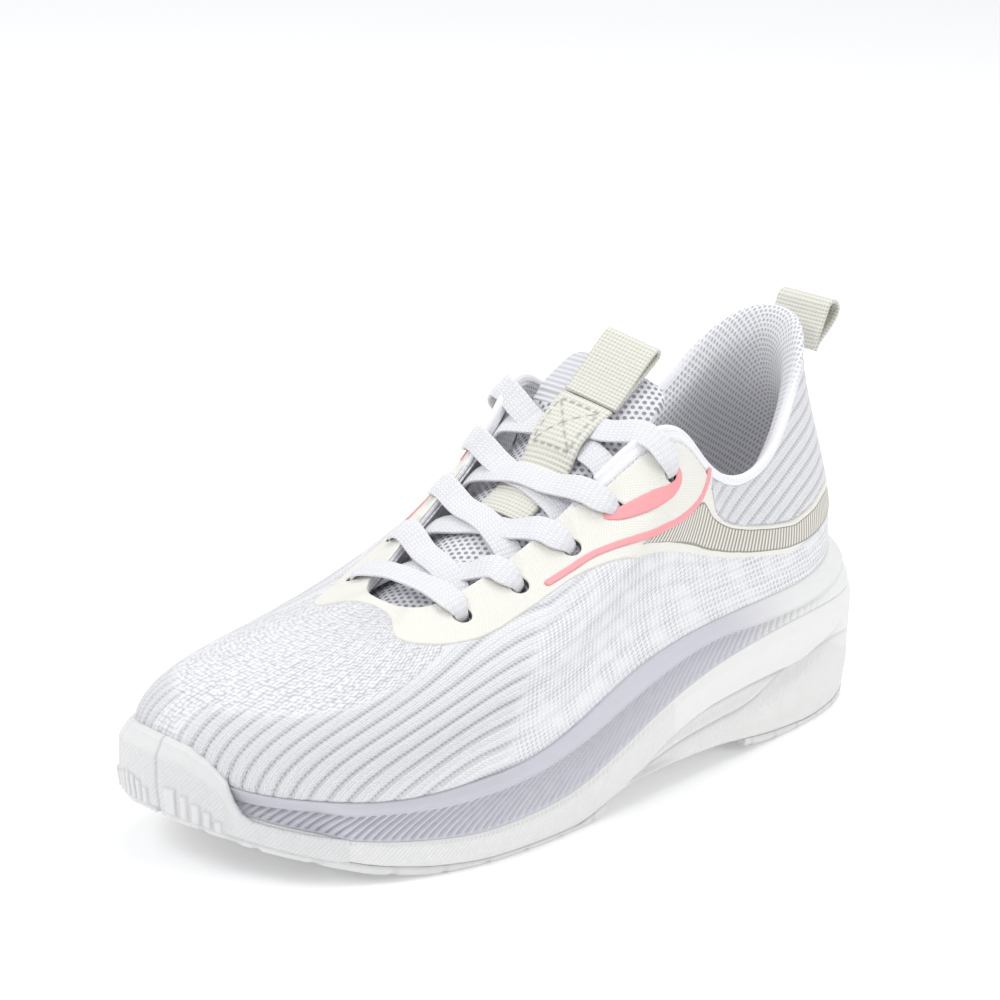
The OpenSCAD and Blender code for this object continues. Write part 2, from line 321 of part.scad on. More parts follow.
outsole_forefoot();
outsole_heel_lateral();
outsole_heel_medial();
midsole_carrier();
midsole_insert();
toe_bumper();
strobel_board();
sockliner_foam();
sockliner_cover();
upper_knit();
overlay_film();
stripe_film();
accent_line_lateral();
accent_patch_lateral();
accent_line_medial();
accent_patch_medial();
eyestay_backing();
toe_puff();
heel_counter();
collar_foam();
collar_lining();
tongue_base();
tongue_face();
tongue_foam();
tongue_lining();
tongue_strap();
tongue_pull_loop();
heel_pull_loop();
lace();
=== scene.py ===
import math
import bpy
import numpy as np
from mathutils import Matrix, Vector


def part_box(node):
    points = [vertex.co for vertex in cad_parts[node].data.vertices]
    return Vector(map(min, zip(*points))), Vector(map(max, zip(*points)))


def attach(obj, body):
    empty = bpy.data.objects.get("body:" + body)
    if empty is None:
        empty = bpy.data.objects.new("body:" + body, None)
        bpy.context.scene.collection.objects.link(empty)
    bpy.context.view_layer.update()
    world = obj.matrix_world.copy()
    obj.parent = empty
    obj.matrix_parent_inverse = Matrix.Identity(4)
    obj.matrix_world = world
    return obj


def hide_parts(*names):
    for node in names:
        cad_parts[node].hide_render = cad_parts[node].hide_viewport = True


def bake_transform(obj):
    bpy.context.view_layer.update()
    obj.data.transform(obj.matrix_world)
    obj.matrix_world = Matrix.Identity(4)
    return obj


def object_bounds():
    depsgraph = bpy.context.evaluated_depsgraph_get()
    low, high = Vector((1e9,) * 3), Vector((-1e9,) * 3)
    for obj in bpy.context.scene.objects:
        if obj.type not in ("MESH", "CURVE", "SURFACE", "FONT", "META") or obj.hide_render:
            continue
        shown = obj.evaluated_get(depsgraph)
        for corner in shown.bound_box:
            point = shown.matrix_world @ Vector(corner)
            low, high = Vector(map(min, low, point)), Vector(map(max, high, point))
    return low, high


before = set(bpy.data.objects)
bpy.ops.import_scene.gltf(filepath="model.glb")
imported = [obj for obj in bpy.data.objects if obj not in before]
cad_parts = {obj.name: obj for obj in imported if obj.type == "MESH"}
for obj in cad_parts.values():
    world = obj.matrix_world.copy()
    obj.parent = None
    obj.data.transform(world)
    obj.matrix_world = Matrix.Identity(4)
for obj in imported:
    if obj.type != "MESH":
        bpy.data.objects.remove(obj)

CAD_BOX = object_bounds()
KNIT, FILM, DEPTH = 1.6, 0.5, 8.0
LACE_W, LACE_T, EYE_R, LOOP_W = 8.4, 1.35, 2.9, 21.0

# ------------------------------------------------------------------ the surface of the shoe, as in part.scad, in mm
OT = np.array([[-138.5,0],[-131,17],[-114,29.5],[-92,35.5],[-68,38.5],[-44,40.5],[-20,43],[4,45],[28,47],[50,48],[70,46.5],
  [88,42],[104,35],[118,25.5],[130,13],[138,-2],[142,-19],[139.5,-33.5],[129.5,-44],[115,-49.5],[98,-51.5],
  [79,-50.5],[60,-47.5],[40,-43],[18,-38.5],[-5,-35.5],[-30,-34.5],[-55,-35.5],[-78,-36.5],[-99,-34.5],
  [-117,-28.5],[-131.5,-16.5]], float)
ZBT = np.array([51,50,48,46.5,46.5,46,44.5,40,32,26.5,24.5,23,23,24,25.5,28,30,30,28,26.5,26,27,29,32,36,40,43,45,46.5,47.5,49,50.5], float)
IBT = np.array([9,9,8,6,5,5,5,4.5,4,4,4,3.5,3,3.5,3.5,4,5,5,4.5,4,3.5,4,4,4.5,5,5,5,4.5,4,5,7,8.5], float)
TT = np.array([[-111,-2,124.5],[-106.5,8.5,122],[-97,17,113],[-84,23.5,100.5],[-69,28.5,90],[-52,30,87.5],[-38,29.5,96],
  [-27,27.5,107.5],[-13,23,105],[6,19.5,92],[24,17.5,81],[40,15.5,73.5],[52,13.5,69],[60,11,66.5],[64.5,7,65.8],
  [66,2.5,65.6],[66.3,-2,65.8],[66,-6.5,66],[64,-11,66.2],[59,-14.5,67.5],[50,-17,70.5],[38,-20,76],[23,-22.5,84],
  [6,-25,94.5],[-8,-28,107],[-19,-30.5,112.5],[-33,-31.5,106],[-50,-32,95],[-68,-31.5,91],[-84,-29,98],
  [-98,-22.5,113.5],[-107.5,-12.5,123]], float)
FD = np.radians([180,152,122,102,94,91,89,86,82,78,74,67,56,42,27,11,-6,-23,-38,-52,-64,-73,-79,-83,-86,-88,-90,-92,-96,-104,-124,-152])
F1 = np.array([0,0,0,2,3,3,4,5,7,9,11,13,14,12,10,8,8,8,8,10,13,12,10,8,5,4,4,5,5,4,2,0], float)
F2 = np.array([88,86,84,82,80,78,74,66,56,47,41,36,29,23,18,16,16,17,20,26,33,39,45,52,62,72,78,80,82,84,86,87], float)
FA = np.array([35,35,35,36,38,40,42,42,42,40,38,34,30,28,27,26,26,27,28,30,34,38,40,42,42,42,42,38,36,35,35,35]) / 100
FB = np.array([35,35,35,35,36,36,36,36,38,42,46,50,53,55,56,56,56,56,55,53,50,46,42,38,36,36,36,36,36,35,35,35]) / 100
W1 = np.array([130,135,155,180,310,470,525,530,575,715,770,785,810,845,895,965,970,965,930,860,760,640,600,570,545,530,520,500,360,220,160,140]) / 1000
W2 = np.array([165,170,190,215,345,505,560,565,610,745,795,805,830,862,908,970,975,970,940,875,780,670,630,605,580,565,555,535,395,255,195,175]) / 1000
W3 = np.array([275,275,295,340,485,665,740,590,635,770,820,830,850,878,920,976,980,976,950,890,805,700,655,630,605,590,720,690,510,370,300,280]) / 1000
ZGT = np.array([0,-0.5,-1.8,-2.7,-1,2.2,3.7,3.5,-2.7,-2.7,-2.7,-1.3,1.2,5.3,9.2,12.8,14.8,14.8,13,9.5,5.5,1.5,-2.7,-2.7,-2.7,0,3,3,1,-2.7,-1.8,-0.5], float)
ZLT = np.array([37,37,36.7,37,36,33.3,28.8,20.5,12.2,9.7,8.5,9.5,11,13.5,17,20,21,20.5,18,15.5,13,11,10,10,11.5,16,22,28,32,35,36.5,37], float)


def shp(P, n=3):
    Q = P.copy()
    for _ in range(n):
        Q = Q + P - (np.roll(Q, 1, 0) + 4 * Q + np.roll(Q, -1, 0)) / 6
    return Q


def bs(Q, t):
    t = np.asarray(t, float) % 32
    i = np.floor(t).astype(int)
    u = t - i
    if Q.ndim == 2:
        u = u[..., None]
    return ((1 - u) ** 3 / 6 * Q[(i - 1) % 32] + (3 * u**3 - 6 * u**2 + 4) / 6 * Q[i % 32]
            + (-3 * u**3 + 3 * u**2 + 3 * u + 1) / 6 * Q[(i + 1) % 32] + u**3 / 6 * Q[(i + 2) % 32])


def lin(Q, t):
    t = np.asarray(t, float) % 32
    i = np.floor(t).astype(int)
    return (1 - (t - i)) * Q[i % 32] + (t - i) * Q[(i + 1) % 32]


def unit(v):
    return v / np.maximum(np.linalg.norm(v, axis=-1, keepdims=True), 1e-9)


def ss(a, b, x):
    u = np.clip((x - a) / (b - a), 0, 1)
    return u * u * (3 - 2 * u)


def mix(a, b, u):
    return a + (b - a) * u


qO, qT, qZB, qIB, qF1, qF2, qFA, qFB = (shp(x) for x in (OT, TT, ZBT, IBT, F1, F2, FA, FB))
qF = shp(np.stack([np.cos(FD), np.sin(FD)], 1))
qZG, qZL, qW1, qW2, qW3 = (shp(x, 2) for x in (ZGT, ZLT, W1, W2, W3))
OFF = np.array([-1.75, 1.75, 2.7])


def outl(t):
    return bs(qO, t)


def onrm(t):
    d = unit(outl(np.asarray(t) + 0.02) - outl(np.asarray(t) - 0.02))
    return np.stack([-d[..., 1], d[..., 0]], -1)


def r3(t, inset, z):
    t, inset, z = np.broadcast_arrays(np.asarray(t, float), inset, z)
    return np.concatenate([outl(t) - onrm(t) * inset[..., None], z[..., None]], -1)


def cp(t):
    B = r3(t, bs(qIB, t), bs(qZB, t))
    E = bs(qT, t)
    h = unit(bs(qF, t))
    L = np.linalg.norm(E - B, axis=-1)[..., None]
    f, g = np.radians(bs(qF1, t))[..., None], np.radians(bs(qF2, t))[..., None]
    h0, h1 = h[..., 0:1], h[..., 1:2]
    C1 = B + bs(qFA, t)[..., None] * L * np.concatenate([h0 * np.sin(f), h1 * np.sin(f), np.cos(f)], -1)
    C2 = E + bs(qFB, t)[..., None] * L * np.concatenate([h0 * np.cos(g), h1 * np.cos(g), -np.sin(g)], -1)
    return B, C1, C2, E


def S(t, v):
    t, v = np.broadcast_arrays(np.asarray(t, float), np.asarray(v, float))
    a, b, c, d = cp(t)
    v = v[..., None]
    return (1 - v) ** 3 * a + 3 * (1 - v) ** 2 * v * b + 3 * (1 - v) * v**2 * c + v**3 * d


def dS(t, v):
    t, v = np.broadcast_arrays(np.asarray(t, float), np.asarray(v, float))
    a, b, c, d = cp(t)
    v = np.clip(v, 0.02, 0.98)[..., None]
    return (1 - v) ** 2 * (b - a) + 2 * (1 - v) * v * (c - b) + v**2 * (d - c)


def nrm(t, v):
    return unit(np.cross(dS(t, v), S(np.asarray(t) + 0.15, v) - S(np.asarray(t) - 0.15, v)))


def zf(x):
    return np.interp(x, [-145, -90, -50, 0, 40, 70, 100, 118, 130, 145], [37, 35.5, 34, 28.5, 23, 20.5, 20.5, 21.5, 23, 25])


def pt(t, v, d):
    t, v, d = np.broadcast_arrays(np.asarray(t, float), np.asarray(v, float), np.asarray(d, float))
    up = S(t, np.maximum(v, 0)) - nrm(t, np.maximum(v, 0)) * d[..., None]
    i = bs(qIB, t)
    a = r3(t, i + 1.15 + d, bs(qZB, t) - 0.15)
    b = r3(t, i + 1.75 + d, 0.0)
    b[..., 2] = zf(b[..., 0]) + 0.15
    lo = np.where((v > -0.2)[..., None], a, mix(a, b, -v[..., None]))
    return np.where((v >= 0)[..., None], up, lo)


# the frame says where the shoe stands: my upper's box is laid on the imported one's
_t, _v = np.meshgrid(np.linspace(0, 32, 129), np.linspace(0, 1, 41), indexing="ij")
_p = S(_t, _v)
_lo, _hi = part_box("upper_knit")
_d = (np.array(_lo) + np.array(_hi)) * 500 - (_p.reshape(-1, 3).min(0) + _p.reshape(-1, 3).max(0)) / 2
OFF = np.where(np.abs(_d - OFF) < 1.0, OFF * 1.0, _d)
print("offset from the frame", np.round(_d, 2), "used", OFF)


# ------------------------------------------------------------------ meshes
def make(name, verts, faces, body, mat, attrs=None, rep=(), slot=None, smooth=True, ride=True):
    me = bpy.data.meshes.new(name)
    v = (np.asarray(verts, float).reshape(-1, 3) + OFF) / 1000
    me.vertices.add(len(v))
    me.vertices.foreach_set("co", v.astype(np.float32).ravel())
    counts = np.array([len(f) for f in faces]) if not isinstance(faces, np.ndarray) else np.full(len(faces), faces.shape[1])
    flat = np.concatenate([np.asarray(f) for f in faces]) if not isinstance(faces, np.ndarray) else faces.ravel()
    me.loops.add(len(flat))
    me.loops.foreach_set("vertex_index", flat.astype(np.int32))
    me.polygons.add(len(counts))
    me.polygons.foreach_set("loop_start", np.concatenate([[0], np.cumsum(counts)[:-1]]).astype(np.int32))
    me.update(calc_edges=True)
    me.validate()
    me.polygons.foreach_set("use_smooth", np.full(len(me.polygons), smooth))
    for k, a in (attrs or {}).items():
        a = np.asarray(a, np.float32)
        if a.ndim >= 2 and a.shape[-1] == 3:
            at = me.attributes.new(k, "FLOAT_VECTOR", "POINT")
            at.data.foreach_set("vector", a.reshape(-1))
        else:
            at = me.attributes.new(k, "FLOAT", "POINT")
            at.data.foreach_set("value", a.reshape(-1))
    o = bpy.data.objects.new(name, me)
    bpy.context.scene.collection.objects.link(o)
    if mat:
        me.materials.append(mat)
    if ride:
        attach(o, body)
    if rep:
        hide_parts(*rep)
    return o


def quads(m, r, wrap=False, keep=None, start=0):
    """outward quads of a grid of m stations by r rows"""
    mc = m if wrap else m - 1
    I = np.arange(m * r).reshape(m, r) + start
    nx = (np.arange(mc) + 1) % m
    a, b, c, d = I[:mc, :-1], I[nx, :-1], I[nx, 1:], I[:mc, 1:]
    K = np.ones((mc, r - 1), bool) if keep is None else keep
    return np.stack([a[K], d[K], c[K], b[K]], 1)


def solid(name, A, B, body, mat, attrs=None, wrap=False, keep=None, **kw):
    """a closed sheet between two grids"""
    m, r = A.shape[:2]
    n = m * r
    F = quads(m, r, wrap, keep)
    G = F[:, ::-1] + n
    e = np.concatenate([F[:, [0, 1]], F[:, [1, 2]], F[:, [2, 3]], F[:, [3, 0]]])
    key, rev = e[:, 0] * (2 * n) + e[:, 1], e[:, 1] * (2 * n) + e[:, 0]
    e = e[~np.isin(key, rev)]
    Wl = np.stack([e[:, 1], e[:, 0], e[:, 0] + n, e[:, 1] + n], 1)
    V = np.concatenate([A.reshape(-1, 3), B.reshape(-1, 3)])
    F = np.concatenate([F, G, Wl])
    at = {k: np.concatenate([np.asarray(x).reshape(n, -1)] * 2) for k, x in (attrs or {}).items()}
    used = np.unique(F)
    idx = np.zeros(len(V), int)
    idx[used] = np.arange(len(used))
    at = {k: (x[used] if x.shape[1] == 3 else x[used, 0]) for k, x in at.items()}
    return make(name, V[used], idx[F], body, mat, at, **kw)


def shell(name, A, body, mat, attrs=None, wrap=False, keep=None, **kw):
    m, r = A.shape[:2]
    F = quads(m, r, wrap, keep)
    V = A.reshape(-1, 3)
    at = {k: np.asarray(x).reshape(m * r, -1) for k, x in (attrs or {}).items()}
    used = np.unique(F)
    idx = np.zeros(len(V), int)
    idx[used] = np.arange(len(used))
    at = {k: (x[used] if x.shape[1] == 3 else x[used, 0]) for k, x in at.items()}
    return make(name, V[used], idx[F], body, mat, at, **kw)


def rings(name, R, body, mat, attrs=None, **kw):
    """a solid from stacked closed rings R[row, station], closed straight across at both ends"""
    r, m = R.shape[:2]
    I = np.arange(r * m).reshape(r, m)
    nx = (np.arange(m) + 1) % m
    F = [np.stack([I[:-1].ravel(), I[1:].ravel(), I[1:][:, nx].ravel(), I[:-1][:, nx].ravel()], 1)]
    k = np.arange(1, m // 2 - 1)
    for row, flip in ((0, False), (r - 1, True)):
        q = np.stack([I[row][k], I[row][k + 1], I[row][m - k - 1], I[row][m - k]], 1)
        F.append(q[:, ::-1] if flip else q)
        tri = [[I[row][0], I[row][1], I[row][m - 1]], [I[row][m // 2 - 1], I[row][m // 2], I[row][m // 2 + 1]]]
        F.append([t[::-1] if flip else t for t in tri])
    faces = [list(f) for part in F for f in part]
    return make(name, R.reshape(-1, 3), faces, body, mat, attrs, **kw)


def punch(A, others, keep, centres, R, wrap):
    """opens round holes in a grid: cells near each axis go, and the rim is laid on a circle"""
    m, r = A.shape[:2]
    mc = keep.shape[0]
    nx = (np.arange(mc) + 1) % m
    base = A.copy()
    for P, N in centres:
        def rho(X):
            d = X - P
            h = (d * N).sum(-1, keepdims=True)
            w = d - h * N
            return np.linalg.norm(w, axis=-1), w, np.abs(h[..., 0])
        cc = (base[:mc, :-1] + base[nx, :-1] + base[nx, 1:] + base[:mc, 1:]) / 4
        q, _, h = rho(cc)
        gone = (q < R * 0.97) & (h < 8)
        keep &= ~gone
        vg = np.zeros((m, r), bool)
        i, j = np.nonzero(gone)
        for di in (0, 1):
            for dj in (0, 1):
                vg[(i + di) % m, j + dj] = True
        qv, w, _ = rho(base)
        dirs = w / np.maximum(qv[..., None], 1e-6)
        for X in [A] + others:
            d = X - P
            h = (d * N).sum(-1, keepdims=True)
            X[vg] = (P + h * N + dirs * R)[vg]
    return keep


# ------------------------------------------------------------------ node helper
class Mat:
    def __init__(self, name, color, rough, **kw):
        self.m = bpy.data.materials.new(name)
        self.m.use_nodes = True
        self.t = self.m.node_tree
        self.b = self.t.nodes["Principled BSDF"]
        self.b.inputs["Base Color"].default_value = (*color, 1)
        self.b.inputs["Roughness"].default_value = rough
        self.b.inputs["Specular IOR Level"].default_value = kw.get("spec", 0.35)
        if "sheen" in kw:
            self.b.inputs["Sheen Weight"].default_value = kw["sheen"]
            self.b.inputs["Sheen Roughness"].default_value = 0.5
        if "sss" in kw:
            self.b.inputs["Subsurface Weight"].default_value = kw["sss"]
            self.b.inputs["Subsurface Radius"].default_value = (0.004, 0.004, 0.004)
            self.b.inputs["Subsurface Scale"].default_value = 1.0

    def put(self, sock, v):
        if hasattr(v, "is_output") or isinstance(v, bpy.types.NodeSocket):
            self.t.links.new(v, sock)
        elif isinstance(v, (tuple, list)) and len(v) == 3 and sock.type == "RGBA":
            sock.default_value = (*v, 1)
        else:
            sock.default_value = v

    def math(self, op, a, b=None, c=None, clamp=False):
        n = self.t.nodes.new("ShaderNodeMath")
        n.operation = op
        n.use_clamp = clamp
        for k, x in enumerate((a, b, c)):
            if x is not None:
                self.put(n.inputs[k], x)
        return n.outputs[0]

    def __getattr__(self, k):
        ops = {"add": "ADD", "sub": "SUBTRACT", "mul": "MULTIPLY", "div": "DIVIDE", "sin": "SINE", "cos": "COSINE", "abs": "ABSOLUTE",
               "pow": "POWER", "min": "MINIMUM", "max": "MAXIMUM", "fract": "FRACT", "floor": "FLOOR", "gt": "GREATER_THAN", "pp": "PINGPONG"}
        if k in ops:
            return lambda *a, **kw: self.math(ops[k], *a, **kw)
        raise AttributeError(k)

    def attr(self, name, out="Vector"):
        n = self.t.nodes.new("ShaderNodeAttribute")
        n.attribute_name = name
        return n.outputs[out]

    def xyz(self, v):
        n = self.t.nodes.new("ShaderNodeSeparateXYZ")
        self.t.links.new(v, n.inputs[0])
        return n.outputs[0], n.outputs[1], n.outputs[2]

    def comb(self, x, y, z=0.0):
        n = self.t.nodes.new("ShaderNodeCombineXYZ")
        for k, a in enumerate((x, y, z)):
            self.put(n.inputs[k], a)
        return n.outputs[0]

    def obj(self):
        return self.t.nodes.new("ShaderNodeTexCoord").outputs["Object"]

    def noise(self, scale, vec=None, detail=2.0, rough=0.5):
        n = self.t.nodes.new("ShaderNodeTexNoise")
        n.inputs["Scale"].default_value = scale
        n.inputs["Detail"].default_value = detail
        n.inputs["Roughness"].default_value = rough
        self.t.links.new(vec if vec is not None else self.obj(), n.inputs["Vector"])
        return n.outputs["Fac"]

    def voronoi(self, scale, vec=None, feature="F1", rand=1.0):
        n = self.t.nodes.new("ShaderNodeTexVoronoi")
        n.feature = feature
        n.inputs["Scale"].default_value = scale
        n.inputs["Randomness"].default_value = rand
        self.t.links.new(vec if vec is not None else self.obj(), n.inputs["Vector"])
        return n.outputs["Distance"]

    def step(self, a, b, x):
        n = self.t.nodes.new("ShaderNodeMapRange")
        n.interpolation_type = "SMOOTHSTEP"
        n.inputs["From Min"].default_value = a
        n.inputs["From Max"].default_value = b
        self.put(n.inputs["Value"], x)
        return n.outputs[0]

    def mixc(self, f, a, b):
        n = self.t.nodes.new("ShaderNodeMix")
        n.data_type = "RGBA"
        self.put(n.inputs[0], f)
        self.put(n.inputs[6], a)
        self.put(n.inputs[7], b)
        return n.outputs[2]

    def mixf(self, f, a, b):
        n = self.t.nodes.new("ShaderNodeMix")
        n.data_type = "FLOAT"
        self.put(n.inputs[0], f)
        self.put(n.inputs[2], a)
        self.put(n.inputs[3], b)
        return n.outputs[0]

    def color(self, c):
        self.put(self.b.inputs["Base Color"], c)
        return self

    def rough(self, r):
        self.put(self.b.inputs["Roughness"], r)
        return self

    def bump(self, h, dist_mm, strength=1.0):
        n = self.t.nodes.new("ShaderNodeBump")
        n.inputs["Strength"].default_value = strength
        n.inputs["Distance"].default_value = dist_mm / 1000
        self.put(n.inputs["Height"], h)
        self.t.links.new(n.outputs[0], self.b.inputs["Normal"])
        return self


TAU = 2 * math.pi


def stitches(M, a, b):
    """height of V stitches, one column per unit of a and one course per unit of b"""
    s = M.abs(M.sub(M.mul(M.fract(a), 2.0), 1.0))
    row = M.fract(M.add(b, M.mul(s, 0.55)))
    lobe = M.sin(M.mul(row, math.pi))
    edge = M.sub(1.0, M.pow(s, 5.0))
    return M.mul(M.pow(M.max(lobe, 0.0), 0.7), M.mul(edge, M.step(0.0, 0.22, s)))


def holes(M, x, y, p, r):
    """1 in the round holes of a net, rows shifted by half a step; x, y and the pitch p in mm, r in pitches"""
    row = M.div(y, p * 0.866)
    odd = M.mul(M.fract(M.mul(M.floor(row), 0.5)), 1.0)
    fx = M.sub(M.fract(M.add(M.div(x, p), odd)), 0.5)
    fy = M.mul(M.sub(M.fract(row), 0.5), 0.866)
    d = M.math("SQRT", M.add(M.mul(fx, fx), M.mul(fy, fy)))
    return M.step(r * 1.25, r * 0.7, d)


WHITE = (0.865, 0.865, 0.885)
SHADE = (0.42, 0.42, 0.46)


def mat_knit():
    M = Mat("knit", WHITE, 0.85, spec=0.15, sheen=0.15)
    a, b, occ = M.xyz(M.attr("st"))
    rib, net, peb = M.xyz(M.attr("zw"))
    st = stitches(M, a, b)
    x, y, _ = M.xyz(M.attr("uvm"))
    wob = M.noise(1.0, M.comb(M.div(x, 9.0), M.div(y, 9.0)), 2.0)
    x2, y2 = M.add(x, M.mul(wob, 1.6)), M.add(y, M.mul(wob, 1.6))
    hl = holes(M, x2, y2, 1.95, 0.27)
    patches = M.step(0.35, 0.62, M.noise(1.0, M.comb(M.div(M.add(x, y), 26.0), M.div(M.sub(x, y), 9.0)), 1.0))
    net_w = M.mul(net, M.add(0.45, M.mul(patches, 0.75)))
    fine = M.noise(1.0, M.comb(M.div(x, 0.5), M.div(y, 0.5)), 1.0)
    cell = M.voronoi(1.0, M.comb(M.div(x2, 1.55), M.div(y2, 1.55)), "F1", 0.42)
    ph = M.step(0.72, 0.25, cell)
    pit = M.step(0.44, 0.72, cell)
    curl = M.sin(M.mul(cell, 17.0))
    hgt = M.add(M.add(M.mul(st, M.mul(rib, 0.65)), M.mul(M.sub(1.0, hl), M.mul(net_w, 0.8))), M.mul(M.add(ph, M.mul(curl, 0.08)), M.mul(peb, 0.7)))
    hgt = M.add(hgt, M.mul(fine, 0.2))
    # painted shade: the gaps between stitches, the holes of the net, the pits of the pebble knit and the dotted rib
    # grooves are darkened toward SHADE
    dot = M.add(0.50, M.mul(M.sub(1.0, M.sin(M.mul(M.fract(b), math.pi))), 0.75))
    dark = M.add(M.add(M.mul(M.sub(1.0, st), M.mul(rib, 0.06)), M.mul(hl, M.mul(net_w, 0.34))), M.mul(M.mul(pit, 0.52), peb))
    dark = M.add(dark, M.mul(M.mul(occ, dot), 0.84), clamp=True)
    M.color(M.mixc(dark, WHITE, SHADE))
    M.bump(hgt, 0.5, 0.85)
    return M.m


def mat_film(name="film", col=(0.86, 0.85, 0.79)):
    M = Mat(name, col, 0.5, spec=0.35)
    x, y, _ = M.xyz(M.attr("uvm"))
    w = M.mul(M.sin(M.mul(M.add(x, y), TAU / 1.7)), M.sin(M.mul(M.sub(x, y), TAU / 1.7)))
    n = M.noise(1.0, M.comb(M.div(x, 6.0), M.div(y, 6.0)), 3.0)
    f = M.noise(1.0, M.comb(M.div(x, 0.5), M.div(y, 0.5)), 2.0)
    h = M.add(M.mul(w, 0.30), M.mul(f, 0.35))
    # painted shade in the low parts of the diamond emboss, with tone that varies at random
    M.color(M.mixc(M.add(M.mul(M.step(-0.2, -0.9, w), 0.22), M.mul(n, 0.12)), col, tuple(c * 0.84 for c in col)))
    M.rough(M.add(0.42, M.mul(f, 0.2)))
    M.bump(h, 0.26, 0.8)
    return M.m


def mat_stripe():
    cream, taupe, dark = (0.80, 0.78, 0.71), (0.33, 0.31, 0.27), (0.24, 0.225, 0.20)
    M = Mat("stripes", cream, 0.42, spec=0.4)
    x, w, k = M.xyz(M.attr("uvm"))
    ln = M.sin(M.mul(M.add(x, M.mul(w, 1.6)), TAU / 1.75))
    duty = M.step(-0.25, 0.25, M.add(ln, M.mul(k, 1.4)))
    edge = M.max(M.step(0.09, 0.05, w), M.step(0.93, 0.97, w))
    c = M.mixc(duty, cream, taupe)
    c = M.mixc(M.mul(edge, 0.75), c, dark)
    M.color(c)
    M.bump(M.sub(1.0, duty), 0.12, 0.6)
    M.rough(M.mixf(duty, 0.5, 0.3))
    return M.m


def mat_pink():
    M = Mat("pink_film", (0.87, 0.36, 0.38), 0.45, spec=0.35)
    n = M.noise(900.0, None, 2.0)
    M.color(M.mixc(M.mul(n, 0.25), (0.90, 0.385, 0.405), (0.80, 0.30, 0.33)))
    M.bump(n, 0.1, 0.5)
    M.rough(M.add(0.4, M.mul(n, 0.15)))
    return M.m


def mat_lining():
    M = Mat("lining_mesh", (0.80, 0.80, 0.85), 0.9, spec=0.12, sheen=0.2)
    x, y, k = M.xyz(M.attr("uvm"))
    hl = holes(M, x, y, 1.85, 0.28)
    hl = M.mul(hl, k)
    f = M.noise(1.0, M.comb(M.div(x, 0.5), M.div(y, 0.5)), 2.0)
    wv = M.sin(M.mul(y, TAU / 1.0))
    # painted shade in the mesh holes; the pale base is also lightened to stand in for light bounced into the collar
    M.color(M.mixc(M.add(M.mul(hl, 0.70), M.mul(f, 0.12), clamp=True), (0.93, 0.93, 0.955), (0.48, 0.48, 0.53)))
    M.bump(M.add(M.sub(1.0, hl), M.add(M.mul(f, 0.2), M.mul(wv, 0.08))), 0.5, 0.8)
    return M.m


def mat_tongue():
    M = Mat("tongue_mesh", (0.80, 0.80, 0.86), 0.9, spec=0.12, sheen=0.2)
    x, y, k = M.xyz(M.attr("uvm"))
    hl = M.mul(holes(M, x, y, 2.25, 0.265), k)
    f = M.noise(1.0, M.comb(M.div(x, 0.5), M.div(y, 0.5)), 2.0)
    rb = M.sin(M.mul(x, TAU / 1.9))
    rib = M.mul(rb, M.sub(1.0, k))
    # painted shade in the mesh holes and in the troughs of the ribs
    dk = M.add(M.mul(hl, 0.85), M.add(M.mul(f, 0.1), M.mul(M.step(-0.1, -0.9, rib), 0.28)), clamp=True)
    M.color(M.mixc(dk, (0.84, 0.84, 0.88), (0.27, 0.27, 0.31)))
    M.bump(M.add(M.sub(1.0, hl), M.add(M.mul(f, 0.2), M.mul(rib, 0.5))), 0.5, 0.9)
    return M.m


def mat_lace():
    M = Mat("lace_braid", (0.86, 0.86, 0.92), 0.75, spec=0.2, sheen=0.25)
    s, u, _ = M.xyz(M.attr("uvm"))
    ua = M.abs(u)
    col = M.math("ADD", M.mul(u, 4.0), 0.0)
    z = M.abs(M.sub(M.mul(M.fract(col), 2.0), 1.0))
    row = M.fract(M.add(M.div(s, 1.7), M.mul(z, 0.5)))
    h = M.mul(M.sin(M.mul(row, math.pi)), M.sub(1.0, M.pow(z, 4.0)))
    f = M.noise(1.0, M.comb(M.div(s, 0.4), M.mul(u, 9.0)), 2.0)
    # painted shade between the braid strands, toward a lavender grey
    dk = M.add(M.mul(M.sub(1.0, h), 0.24), M.mul(f, 0.08))
    M.color(M.mixc(dk, (0.92, 0.92, 0.94), (0.55, 0.55, 0.64)))
    M.bump(M.add(h, M.mul(f, 0.3)), 0.25, 0.8)
    return M.m


def mat_web():
    M = Mat("webbing", (0.80, 0.79, 0.71), 0.8, spec=0.2, sheen=0.2)
    x, y, dash = M.xyz(M.attr("uvm"))
    a = M.sin(M.mul(x, TAU / 1.25))
    bq = M.sin(M.mul(y, TAU / 1.25))
    w = M.mul(a, M.add(0.65, M.mul(bq, 0.35)))
    f = M.noise(1.0, M.comb(M.div(x, 0.3), M.div(y, 0.3)), 2.0)
    # painted shade in the troughs of the weave; the dashes further on are the darker stitch thread
    dk = M.add(M.mul(M.step(0.1, -0.9, w), 0.45), M.mul(f, 0.14), clamp=True)
    c = M.mixc(dk, (0.84, 0.83, 0.755), (0.50, 0.49, 0.42))
    c = M.mixc(M.mul(dash, M.add(0.6, M.mul(f, 0.3))), c, (0.33, 0.34, 0.30))
    M.color(c)
    M.bump(M.add(w, M.add(M.mul(f, 0.3), M.mul(dash, 0.9))), 0.22, 0.9)
    return M.m


